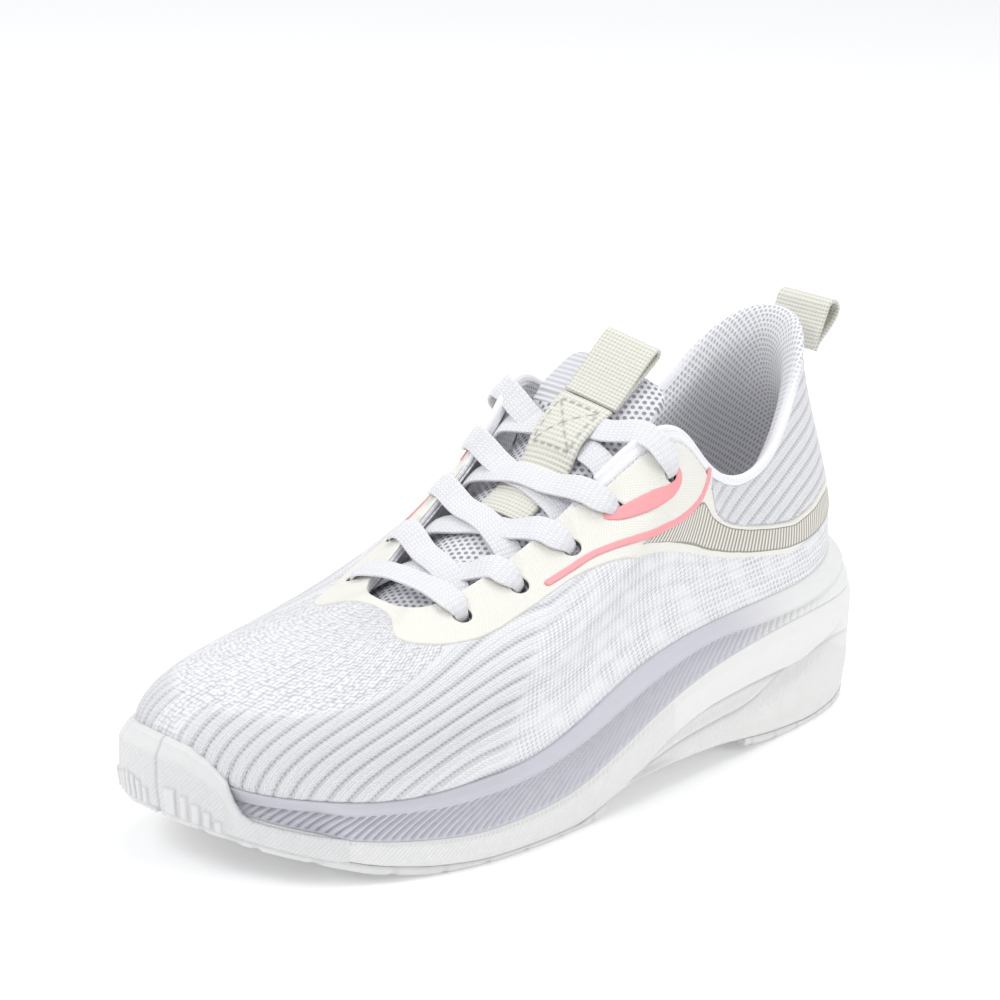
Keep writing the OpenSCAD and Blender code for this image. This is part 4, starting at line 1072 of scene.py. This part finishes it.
def rim(s, i, o, h):
    q = eye(s, i)[0] + s * o
    return S1(q, 1) + N1(q, 0.97) * h + (1.7 if h > 0 else 0.6) * U1(q)


def through(s, i, g):
    e = eye(s, i)
    Pq, Nq = S1(*e), N1(*e)
    Aq, Bq = rim(s, i, 0.55 if i == 0 else 0.46, 0), rim(s, i, -0.1, 0)
    D = unit((Pq - Aq) - Nq * ((Pq - Aq) @ Nq))
    E = unit((Bq - Pq) - Nq * ((Bq - Pq) @ Nq))
    return [(Pq - D * 5.5 + Nq * (2.6 if s < 0 else 2.2), g * Nq, 1, 1), (Pq - D * 3 + Nq * 2, g * Nq, 0.8, 1.1), (Pq - D * 0.8 + Nq * 0.8, g * unit(Nq + D), 0.55, 1.35),
            (Pq - Nq, g * D, 0.52, 1.4), (Pq + E * 0.7 - Nq * 2.9, g * unit(D - Nq), 0.55, 1.35), (Pq + E * 2.8 - Nq * 4, -g * Nq, 0.8, 1.1), (Pq + E * 5.5 - Nq * 3.9, -g * Nq, 1, 1)]


def hb(x):
    return np.interp(x, [-2, 1, 25, 30], [1.3, 2.3, 2.2, 1.3])


def across(s, i, g, up):
    Aq = rim(s, i, -0.1, -3.7)
    Bq = rim(-s, i + 1, 0.46, 1.8 + 0.8 * (i - 1) if (s > 0 and i >= 2) else 2)
    out = [(Aq, g * N1(eye(s, i)[0], 0.97), 1, 1)]
    for f in (0.25, 0.42, 0.58, 0.75):
        p = mix(Aq, Bq, f)
        y = p[1] + 2.5
        n = tn(p[0])
        q = tc(p[0])[2] - 6.6 * (y / 20) ** 2 / n[2]
        h = hb(p[0]) + (1.5 if up else 0) + ((1.3 + 2 * (i - 1) if (s > 0 and i >= 2) else 0.9) if f > 0.7 else 0)
        out.append((np.array([p[0], p[1], q + h / n[2]]), g * n, 1, 1))
    return out + [(Bq, g * N1(eye(-s, i + 1)[0], 0.97), 1, 1)]


def tail(s, g):
    q = eye(s, 4)[0]
    return [(pt(q + s * (0.72 - v_) * 1.2, v_, 4.2), g * N1(q, v_), 1, 1) for v_ in (0.72, 0.6, 0.48, 0.36)]


def half_(s, ups):
    return (through(s, 0, 1) + across(s, 0, -1, ups[0]) + through(-s, 1, -1) + across(-s, 1, 1, ups[1]) + through(s, 2, 1)
            + across(s, 2, -1, ups[2]) + through(-s, 3, -1) + across(-s, 3, 1, ups[3]) + through(s, 4, 1) + tail(s, -1))


_A, _B = rim(-1, 0, 0.55, 1.6), rim(1, 0, 0.55, 1.6)
BAR = [(mix(_A, _B, f) + [0, 0, 0.8], np.array([0.2, 0, 1.0]), 1, 1) for f in (0.25, 0.5, 0.75)]
HA = [(rim(1, 0, 0.55, 1.5), N1(12.4, 0.97), 1, 1)] + half_(1, [1, 0, 0, 1])
HB = [(rim(-1, 0, 0.55, 1.5), N1(19.4, 0.97), 1, 1)] + half_(-1, [0, 1, 1, 0])
WAY = HA[::-1] + BAR[::-1] + HB
row = np.array([[*p, *n, w_, h_] for p, n, w_, h_ in WAY])
n = len(row)
SUB = 8
LPp, LPn, LPw, LPh = [], [], [], []
for i in range(n - 1):
    a, b, c, d = row[max(i - 1, 0)], row[i], row[i + 1], row[min(i + 2, n - 1)]
    for u in np.arange(SUB) / SUB:
        LPp.append(0.5 * (2 * b[:3] + (c[:3] - a[:3]) * u + (2 * a[:3] - 5 * b[:3] + 4 * c[:3] - d[:3]) * u * u + (3 * b[:3] - a[:3] - 3 * c[:3] + d[:3]) * u**3))
        LPn.append(mix(b[3:6], c[3:6], u)); LPw.append(mix(b[6], c[6], u)); LPh.append(mix(b[7], c[7], u))
LPp.append(row[-1][:3]); LPn.append(row[-1][3:6]); LPw.append(row[-1][6]); LPh.append(row[-1][7])
LPp, LPn, LPw, LPh = np.array(LPp), np.array(LPn), np.array(LPw), np.array(LPh)
ease = ss(0.72, 0.98, LPw)[:, None]
for _ in range(26):
    LPp[1:-1] += ease[1:-1] * (LPp[:-2] + LPp[2:] - 2 * LPp[1:-1]) * 0.25
Tn = unit(np.gradient(LPp, axis=0))
Wd = unit(np.cross(Tn, LPn))
for _ in range(3):
    Wd = unit(np.concatenate([Wd[:1], Wd[:-2] + 2 * Wd[1:-1] + Wd[2:], Wd[-1:]]))
    Wd = unit(Wd - Tn * (Wd * Tn).sum(-1, keepdims=True))
Ud = np.cross(Wd, Tn)
slen = np.concatenate([[0], np.cumsum(np.linalg.norm(np.diff(LPp, axis=0), axis=-1))])
LACE_LEN = slen[-1] / 1000
print("lace length along its route, m", round(LACE_LEN, 3))
NA = 40
ang = np.linspace(0, TAU, NA, endpoint=False)
cx, cy = np.sign(np.cos(ang)) * np.abs(np.cos(ang)) ** 0.62, np.sign(np.sin(ang)) * np.abs(np.sin(ang)) ** 0.62
rid = 1 + 0.10 * np.cos(cx * 4 * TAU)
Wm = (LACE_W / 2 * LPw)[:, None] * cx[None, :]
Hm = (LACE_T / 2 * LPh)[:, None] * (cy * rid)[None, :]
R = LPp[:, None, :] + Wd[:, None, :] * Wm[..., None] + Ud[:, None, :] * Hm[..., None]
m_, k_ = R.shape[:2]
I = np.arange(m_ * k_).reshape(m_, k_)
nx = (np.arange(k_) + 1) % k_
F = np.stack([I[:-1].ravel(), I[1:].ravel(), I[1:][:, nx].ravel(), I[:-1][:, nx].ravel()], 1)
uvl = np.stack([slen[:, None] + 0 * Wm, np.broadcast_to(cx[None, :], Wm.shape), 0 * Wm], -1)
caps = [list(I[0]), list(I[-1])[::-1]]
lace_o = make("lace_braid", R.reshape(-1, 3), [list(f) for f in F] + caps, "shoe", LACEM, dict(uvm=uvl.reshape(-1, 3)), rep=["lace"], slot="lace_fabric")


# ------------------------------------------------------------------ sole
def bumpw(t):
    u = np.asarray(t) % 32
    return 2.6 * np.clip(np.minimum((u - 12.4) / 0.6, (20.6 - u) / 0.6), 0, 1)


NS = 1000
tq = np.linspace(0, 32, NS, endpoint=False)
uq = fold(tq)
zL, zB, zG, iB, bW = bs(qZL, tq), bs(qZB, tq), lin(ZGT, tq), bs(qIB, tq), bumpw(tq)
zG = np.convolve(np.concatenate([zG[-8:], zG, zG[:8]]), np.ones(17) / 17, "valid")
arcs = np.concatenate([[0], np.cumsum(np.linalg.norm(np.diff(outl(tq), axis=0), axis=-1))])
hbnd = np.interp(uq, [0, 4.5, 5, 5.85, 6.45, 7.05, 7.65, 8.5, 9.4, 10.5, 11.5, 12.5, 13.3, 14.3], [7, 6.5, 4.5, 5, 6.5, 7, 6.5, 4.5, 4, 4, 3, 3.5, 3.6, 4])
hbnd = np.convolve(np.pad(hbnd, 22, 'wrap'), np.hanning(47)[1:-1] / np.hanning(47)[1:-1].sum(), 'valid')
zC = np.maximum(zB - hbnd, zL + 1.0)
# wall of the upper layer: lip, smooth band, crease, feathered grooves
rows_, occs, fxs = [], [], []
inner = r3(tq, iB + 1.5, 0.0)
top_in = inner.copy(); top_in[:, 2] = zf(inner[:, 0])
R_ = [top_in, r3(tq, iB + 1.3, mix(top_in[:, 2], zB, 0.5)), r3(tq, iB + 1.2, zB - 0.6), r3(tq, iB + 0.9, zB - 0.3), r3(tq, iB + 0.2, zB - 0.08), r3(tq, np.maximum(iB - 0.6, bW + 0.2), zB - 0.35)]
# occ: painted shade under the edge of the upper, then in the crease and the feathered grooves below
occ = [0 * tq + 0.6, 0 * tq + .6, 0 * tq + .6, 0 * tq + 0.5, 0 * tq + 0.12, 0 * tq]
fade = 1 - ss(3.2, 5.2, uq)
for q in np.linspace(0.06, 1, 12):
    z = mix(zB - 0.35, zC, q)
    io = mix(np.maximum(iB - 0.6, bW + 0.2), np.maximum(1.3, iB * 0.35 + 0.2 + bW), ss(0, 1, q) ** 0.8)
    R_.append(r3(tq, io, z)); occ.append(0.0 * tq + 0.25 * ss(0.75, 1, q))
base_in = np.maximum(1.3, iB * 0.35 + 0.2 + bW)
for q in np.linspace(0.02, 1, 30):
    z = mix(zC, zL + 0.5, q)
    g = (uq + 0.052 * (z - zL) + 0.0024 * (z - zL) ** 2) / 0.165
    gp = np.cos(np.pi * g) ** 2
    amp = 1.05 * ss(0, 0.16, q) * ss(1.0, 0.9, q) * ss(2.2, 4.6, uq) * ss(14.5, 14.0, uq)
    step = 1.1 * ss(0, 0.14, q) * ss(1.6, 4.2, uq)
    io = mix(base_in + 0.15, 1.3 + bW, ss(0, 1, q)) + step * (1 - q) + amp * gp ** 3
    R_.append(r3(tq, io, z)); occ.append(amp / 1.05 * (0.62 * gp ** 7) + 0.25 * ss(0.12, 0.0, q) * step / 0.9)
R_ += [r3(tq, 4.0 + bW, zL + 0.2), r3(tq, 11.2 + bW, np.minimum(zL - 1.5, zf(r3(tq, 11.2 + bW, 0.0)[:, 0]) - 8) + 0.45)]
occ += [0 * tq + 0.1, 0 * tq + 0.3]
R = np.stack(R_, 0)
occ = np.stack(occ, 0)
fx = np.stack([occ, np.broadcast_to(fade, occ.shape), 0 * occ], -1)
uv = np.stack([np.broadcast_to(arcs, occ.shape), R[..., 2], 0 * occ], -1)
rings("midsole_upper_layer", R[::-1], "shoe", LILM, dict(fx=fx[::-1].reshape(-1, 3), uvm=uv[::-1].reshape(-1, 3)), rep=["midsole_insert"], slot="lilac_foam")

# lower layer: soft shoulder, sculpted ridges at the heel, fine diagonal hatch
RA = np.array([[1.1, 20], [2.35, 25], [3.1, 22.5], [4.3, 22], [5.6, 20], [6.5, 14], [7.05, 6]])
RB = np.array([[1.9, 29.5], [3.7, 21], [4.4, 15], [5.4, 14], [6.2, 12], [6.7, 8]])
zA, zBr = np.interp(uq, RA[:, 0], RA[:, 1]), np.interp(uq, RB[:, 0], RB[:, 1])
zA = np.convolve(np.pad(zA, 12, "wrap"), np.ones(25) / 25, "valid")
zBr = np.convolve(np.pad(zBr, 12, "wrap"), np.ones(25) / 25, "valid")
g0 = zG + 3.0
# occ: painted shade under the ledge of the upper layer, along the foot of each heel ridge and near the ground
R_, occ, hat = [r3(tq, 11 + bW, np.minimum(zL - 1.5, zf(r3(tq, 11 + bW, 0.0)[:, 0]) - 8)), r3(tq, 3.8 + bW, zL - 1.2), r3(tq, 2.2 + bW, zL + 0.15), r3(tq, 1.35 + bW, zL + 0.4)], [0.3, 0.2, 0.1, 0.0], [0, 0, 0, 0]
occ = [0 * tq + o for o in occ]; hat = [0 * tq + o for o in hat]
for q in np.linspace(0.02, 0.93, 52):
    z = mix(zL, g0, q)
    io = 0.2 + 1.1 * (1 - ss(0, 0.12, q)) + 0.8 * ss(0.70, 1.0, q) + bW
    mA = ss(1.2, 2.8, uq) * ss(7.2, 6.7, uq)
    mB = ss(1.9, 3.2, uq) * ss(6.8, 6.4, uq)
    dA, dB = z - zA, z - zBr
    io = io + mA * (1.7 * ss(0.9, -0.5, dA) * ss(-11, -1, dA)) + mB * (1.3 * ss(0.9, -0.5, dB) * ss(-7, -0.8, dB))
    io = io - 0.45 * mA * np.exp(-((dA - 1.6) / 1.5) ** 2) - 0.35 * mB * np.exp(-((dB - 1.4) / 1.2) ** 2)
    R_.append(r3(tq, np.maximum(io, -0.55), z))
    occ.append(0.75 * mA * np.exp(-((dA + 0.6) / 0.9) ** 2) + 0.65 * mB * np.exp(-((dB + 0.6) / 0.7) ** 2))
    low = ss(0.0, 0.05, q)
    hat.append(np.where(uq > 6.2, low, ss(0.3, -1.2, z - np.where(uq < 6.2, zA * mA + (1 - mA) * 14, 0)) ) * (1 - ss(6.2, 6.6, uq)) + low * ss(6.2, 6.6, uq))
for q, o in ((0.965, 1.05), (0.985, 1.12), (1.0, 1.4), (1.0, 3.2)):
    R_.append(r3(tq, o + bW, mix(zL, g0, q))); occ.append(0 * tq + 0.1); hat.append(0 * tq)
R = np.stack(R_, 0); occ = np.stack(occ, 0); hat = np.stack(hat, 0)
fx = np.stack([occ, 0 * occ, hat], -1)
uv = np.stack([np.broadcast_to(arcs, occ.shape), R[..., 2], 0 * occ], -1)
rings("midsole_lower_layer", R, "shoe", WHTM, dict(fx=fx.reshape(-1, 3), uvm=uv.reshape(-1, 3)), rep=["midsole_carrier"], slot="white_foam")

# toe bumper: upright ribs in front, wedge lugs beside them, a seam between, hatch elsewhere
nb, rb = 420, 70
tb = np.linspace(12.42, 20.58, nb)[:, None]
zTop = np.interp(tb, [12.42, 12.8, 13.1, 13.4, 13.8, 14.05, 14.25, 14.4, 14.55, 14.9, 15.3, 15.75, 16.4, 17, 18, 18.6, 19, 19.4, 19.75, 20.1, 20.58],
                 [12.4, 13.2, 13.9, 14.9, 16.0, 17.5, 19.5, 23.0, 28.6, 33.0, 36.2, 37.2, 37.6, 37.0, 34.5, 30.5, 25.0, 19.0, 16.2, 14.8, 13.7])
gB = lin(ZGT, tb) + 3.0 - 0.8
zTop = np.maximum(np.maximum(zTop, gB + 0.6), bs(qZL, tb) + 0.38)
qb = np.linspace(0, 1, rb)[None, :]
z = mix(gB, zTop, qb)
iBt = bs(qIB, tb)
lean = mix(1.0, 0.1, ss(0, 0.35, qb)) + np.maximum(iBt - 2.2, 0) * ss(0.72, 1.0, qb) * ss(26, 33, zTop)
endf = ss(12.42, 13.0, tb) * ss(20.58, 20.0, tb)
edge_ = ss(0, 0.05, 1 - qb)
off = -0.25 * endf * edge_ + 0.25 * (1 - endf) + 0.5 * (1 - edge_)


def lugs(tb, z, list_, zlo, zhi, hgt):
    h = np.zeros(np.broadcast(tb, z).shape)
    for (a, b), zl, zh in zip(list_, zlo, zhi):
        h = np.maximum(h, ss(a - 0.03, a + 0.03, tb) * ss(b + 0.03, b - 0.03, tb) * ss(zl - 0.6, zl + 0.4, z) * ss(zh + 0.6, zh - 0.4, z))
    return h * hgt


left = [(16.02 + 0.17 * i, 16.02 + 0.17 * i + 0.115) for i in range(6)]
lug = lugs(tb, z, left, [gB.min() - 5] * 6, [22.0, 23.4, 24.2, 24.4, 23.8, 22.6], 0.85)
right = [(15.42, 15.64), (15.20, 15.34), (14.98, 15.13), (14.78, 14.91), (14.58, 14.71)]
lug = np.maximum(lug, lugs(tb, z, right, [15, 14, 13, 12, 11], [24.0, 22.6, 20.9, 19.2, 16.8], 0.85))
mleft = [(32.3 - b, 32.3 - a) for a, b in right]
lug = np.maximum(lug, lugs(tb, z, [(17.15 + 0.2 * i, 17.15 + 0.2 * i + 0.13) for i in range(5)], [10] * 5, [22.4, 20.9, 19.2, 17.4, 15.6], 0.85))
seam_ = np.exp(-((tb - 15.8 - 0.003 * (z - 20)) / 0.025) ** 2) + np.exp(-((tb - 17.07) / 0.025) ** 2) * 0.6
off = off - lug + seam_ * 0.35
A = r3(tb + 0 * z, lean + off, z + 0 * tb)
B = r3(tb + 0 * z, lean + 2.2 + 0 * z, z + 0 * tb)
smooth_top = ss(5.5, 3.5, zTop - z) * 0 + ss(3.5, 6.0, zTop - z)
hatb = np.maximum(smooth_top, 1 - ss(14.0, 14.6, tb) * ss(18.3, 17.7, tb)) * np.where(lug > 0.05, 0, 1)
# occb: painted shade in the seam grooves and round the lug edges
occb = np.clip(seam_ * 0.5 + 0.5 * np.exp(-((lug - 0.35) / 0.2) ** 2) * (lug > 0.02), 0, 1)
arcb = np.concatenate([[0], np.cumsum(np.linalg.norm(np.diff(A[:, 40], axis=0), axis=-1))])[:, None]
solid("toe_bumper_moulded", A, B, "shoe", RUBM, dict(fx=np.stack([occb, 0 * z, hatb], -1), uvm=np.stack([arcb + 0 * z, z + 0 * tb, 0 * z], -1)), rep=["toe_bumper"], slot="tread_rubber")


# ------------------------------------------------------------------ tread pads
def tread(name, ta, tb_, n1, cross, rep, side=None, extra=0.0):
    """one rubber pad: a grid across the shoe between the outlines, grooved from below"""
    tl = np.linspace(ta, tb_, n1)[:, None]
    n2 = 110
    s = np.linspace(0, 1, n2)[None, :]
    zl = lin(ZGT, tl)
    if side is None:
        tr = 32 - tl
        Lp, Rp = r3(tl, 1.15, zl), r3(tr, 1.15, lin(ZGT, tr))
    elif side > 0:
        Lp = r3(tl, 1.15, zl)
        Rp = Lp.copy(); Rp[..., 1] = 2.0
        Rp[..., 2] = mix(zl, lin(ZGT, 32 - tl), 0.5)
    else:
        Lp0 = r3(32 - tl, 1.15, lin(ZGT, 32 - tl))
        Rp = Lp0
        Lp = Lp0.copy(); Lp[..., 1] = -4.0
        Lp[..., 2] = mix(lin(ZGT, tl), lin(ZGT, 32 - tl), 0.5)
    Pb = Lp * (1 - s[..., None]) + Rp * s[..., None]
    X, Y = Pb[..., 0], Pb[..., 1]
    wl = np.linalg.norm(Lp - Rp, axis=-1)
    de_ = np.minimum(s, 1 - s) * wl
    # lugs: wavy cross grooves, two lengthwise flex lines and a notched edge
    yy = Y + 2
    gx = (X + 0.16 * np.abs(yy) + 1.3 * np.sin(yy / 5.0) + extra) / cross
    groove = ss(0.80, 0.93, np.abs(((gx % 1) - 0.5) * 2))
    fl = ss(1.3, 0.7, np.abs(np.abs(yy) - 17 - 3 * np.sin(X / 26)))
    fl = np.maximum(fl, ss(1.5, 0.9, np.abs(yy)))
    if side is not None:
        fl = ss(1.3, 0.7, np.abs(np.abs(yy) - 20))
    micro = 0.15 * (np.sin((X + Y) * TAU / 3.2) * np.sin((X - Y) * TAU / 3.2) > 0.2)
    g_ = np.clip(np.maximum(groove, fl), 0, 1)
    g_ = g_ * mix(0.35, 1.0, ss(0.6, 3.2, de_))
    dep = 1.2 * g_ + micro * (1 - g_) * ss(3.0, 3.5, de_) + 0.7 * ss(0.9, 0.0, de_)
    endd = np.minimum(np.arange(n1), np.arange(n1)[::-1])[:, None] / 3.0
    dep = dep + 0.6 * (1 - np.clip(endd, 0, 1))
    Bt = Pb.copy()
    Bt[..., 2] = np.maximum(Pb[..., 2], -OFF[2]) + dep
    Tp = Pb + np.array([0, 0, 2.85])
    Tp[..., 2] = np.maximum(Tp[..., 2], Bt[..., 2] + 0.5)
    # painted shade in the grooves
    occ_ = np.clip(g_, 0, 1) * 0.6
    solid(name, Tp, Bt, "shoe", RUBM, dict(fx=np.stack([occ_, 0 * occ_, 0 * occ_], -1), uvm=np.stack([X, Y, 0 * X], -1)), rep=rep, slot="tread_rubber")


tread("tread_forefoot", 7.5, 15.5, 330, 15.0, ["outsole_forefoot"])
tread("tread_heel_lateral", 1.0, 4.5, 150, 13.0, ["outsole_heel_lateral"], side=1)
tread("tread_heel_medial", 1.0, 4.0, 140, 13.0, ["outsole_heel_medial"], side=-1)


# ------------------------------------------------------------------ sockliner, its cover and the board under it
def sockgrid(n1, n2, dz, extra=0.0):
    tl = np.linspace(0.05, 15.95, n1)[:, None]
    def edge(t_):
        i = bs(qIB, t_) + KNIT + 4.9 + extra + np.maximum(0, 5 - fold(t_)) * 0.4
        c = r3(t_, i, 0.0)
        c[..., 2] = zf(c[..., 0]) + 2.2
        return c
    Lp, Rp = edge(tl), edge(32 - tl)
    s = np.linspace(0, 1, n2)[None, :]
    P_ = Lp * (1 - s[..., None]) + Rp * s[..., None]
    wl = np.linalg.norm(Lp - Rp, axis=-1)
    de_ = np.minimum(s, 1 - s) * wl
    cup = 1.6 * ss(9, 1, de_)
    P_[..., 2] += dz + cup * (dz > 3)
    return P_, de_


P1, de1 = sockgrid(220, 60, 4.85)
P2, _ = sockgrid(220, 60, 0.6)
P1[..., 2] -= 0.7 * ss(0.8, 0.0, de1)
uvs = np.stack([P1[..., 0], P1[..., 1], 0.35 * np.ones(P1.shape[:2])], -1)
sock_o = solid("sockliner_shaped", P1, P2, "sockliner", LINM, dict(uvm=uvs), rep=["sockliner_foam", "sockliner_cover"], slot="lining_fabric")

# carried-over inner pieces get their own finish
for nname, mm in (("toe_puff", STIFFM), ("heel_counter", STIFFM), ("strobel_board", BOARDM)):
    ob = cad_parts[nname]
    ob.data.materials.clear()
    ob.data.materials.append(mm)

# ------------------------------------------------------------------ stage, lights, camera
floor_me = bpy.data.meshes.new("floor")
zf0 = CAD_BOX[0][2]
floor_me.from_pydata([(-6, -6, zf0), (6, -6, zf0), (6, 6, zf0), (-6, 6, zf0)], [], [(0, 1, 2, 3)])
floor = bpy.data.objects.new("floor", floor_me)
bpy.context.scene.collection.objects.link(floor)
fm = Mat("floor_paper", (0.93, 0.93, 0.93), 0.9, spec=0.0)
fm.b.inputs["Emission Color"].default_value = (1, 1, 1, 1)
fm.b.inputs["Emission Strength"].default_value = 0.17
floor_me.materials.append(fm.m)

sc = bpy.context.scene
world = bpy.data.worlds.new("studio")
world.use_nodes = True
world.node_tree.nodes["Background"].inputs[0].default_value = (0.97, 0.98, 1.0, 1)
world.node_tree.nodes["Background"].inputs[1].default_value = 0.63
sc.world = world
sc.view_settings.view_transform = "Standard"
sc.view_settings.look = "None"


def area(name, loc, target, size, power, col=(1, 1, 1)):
    l = bpy.data.lights.new(name, "AREA")
    l.size = size
    l.energy = power
    l.color = col
    o = bpy.data.objects.new(name, l)
    sc.collection.objects.link(o)
    o.location = loc
    o.rotation_mode = "QUATERNION"
    o.rotation_quaternion = (Vector(target) - Vector(loc)).to_track_quat("-Z", "Y")
    return o


area("key_left", (1.1, -0.5, 1.3), (0, 0, 0.05), 0.7, 9.2)
area("top_soft", (-0.3, 0.0, 1.5), (0, 0, 0), 0.9, 7.9)
area("fill_right", (-0.5, 1.5, 0.7), (0, 0, 0.05), 0.8, 5.0)

az, el, roll, fpx = math.radians(132.88), math.radians(17.86), math.radians(2.46), 3838.0
back = np.array([math.sin(az) * math.cos(el), -math.cos(az) * math.cos(el), math.sin(el)])
rt = np.array([math.cos(az), math.sin(az), 0.0])
upv = np.cross(back, rt)
r2 = rt * math.cos(roll) + upv * math.sin(roll)
u2v = -rt * math.sin(roll) + upv * math.cos(roll)
Cc = (np.array([820.4, 743.0, 439.9]) + OFF) / 1000
cam_d = bpy.data.cameras.new("cam")
cam_d.sensor_width = 36
cam_d.lens = fpx * 36 / 1000
cam = bpy.data.objects.new("cam", cam_d)
sc.collection.objects.link(cam)
cam.matrix_world = Matrix(((r2[0], u2v[0], back[0], Cc[0]), (r2[1], u2v[1], back[1], Cc[1]), (r2[2], u2v[2], back[2], Cc[2]), (0, 0, 0, 1)))
cam_d.clip_start, cam_d.clip_end = 0.05, 50
sc.camera = cam
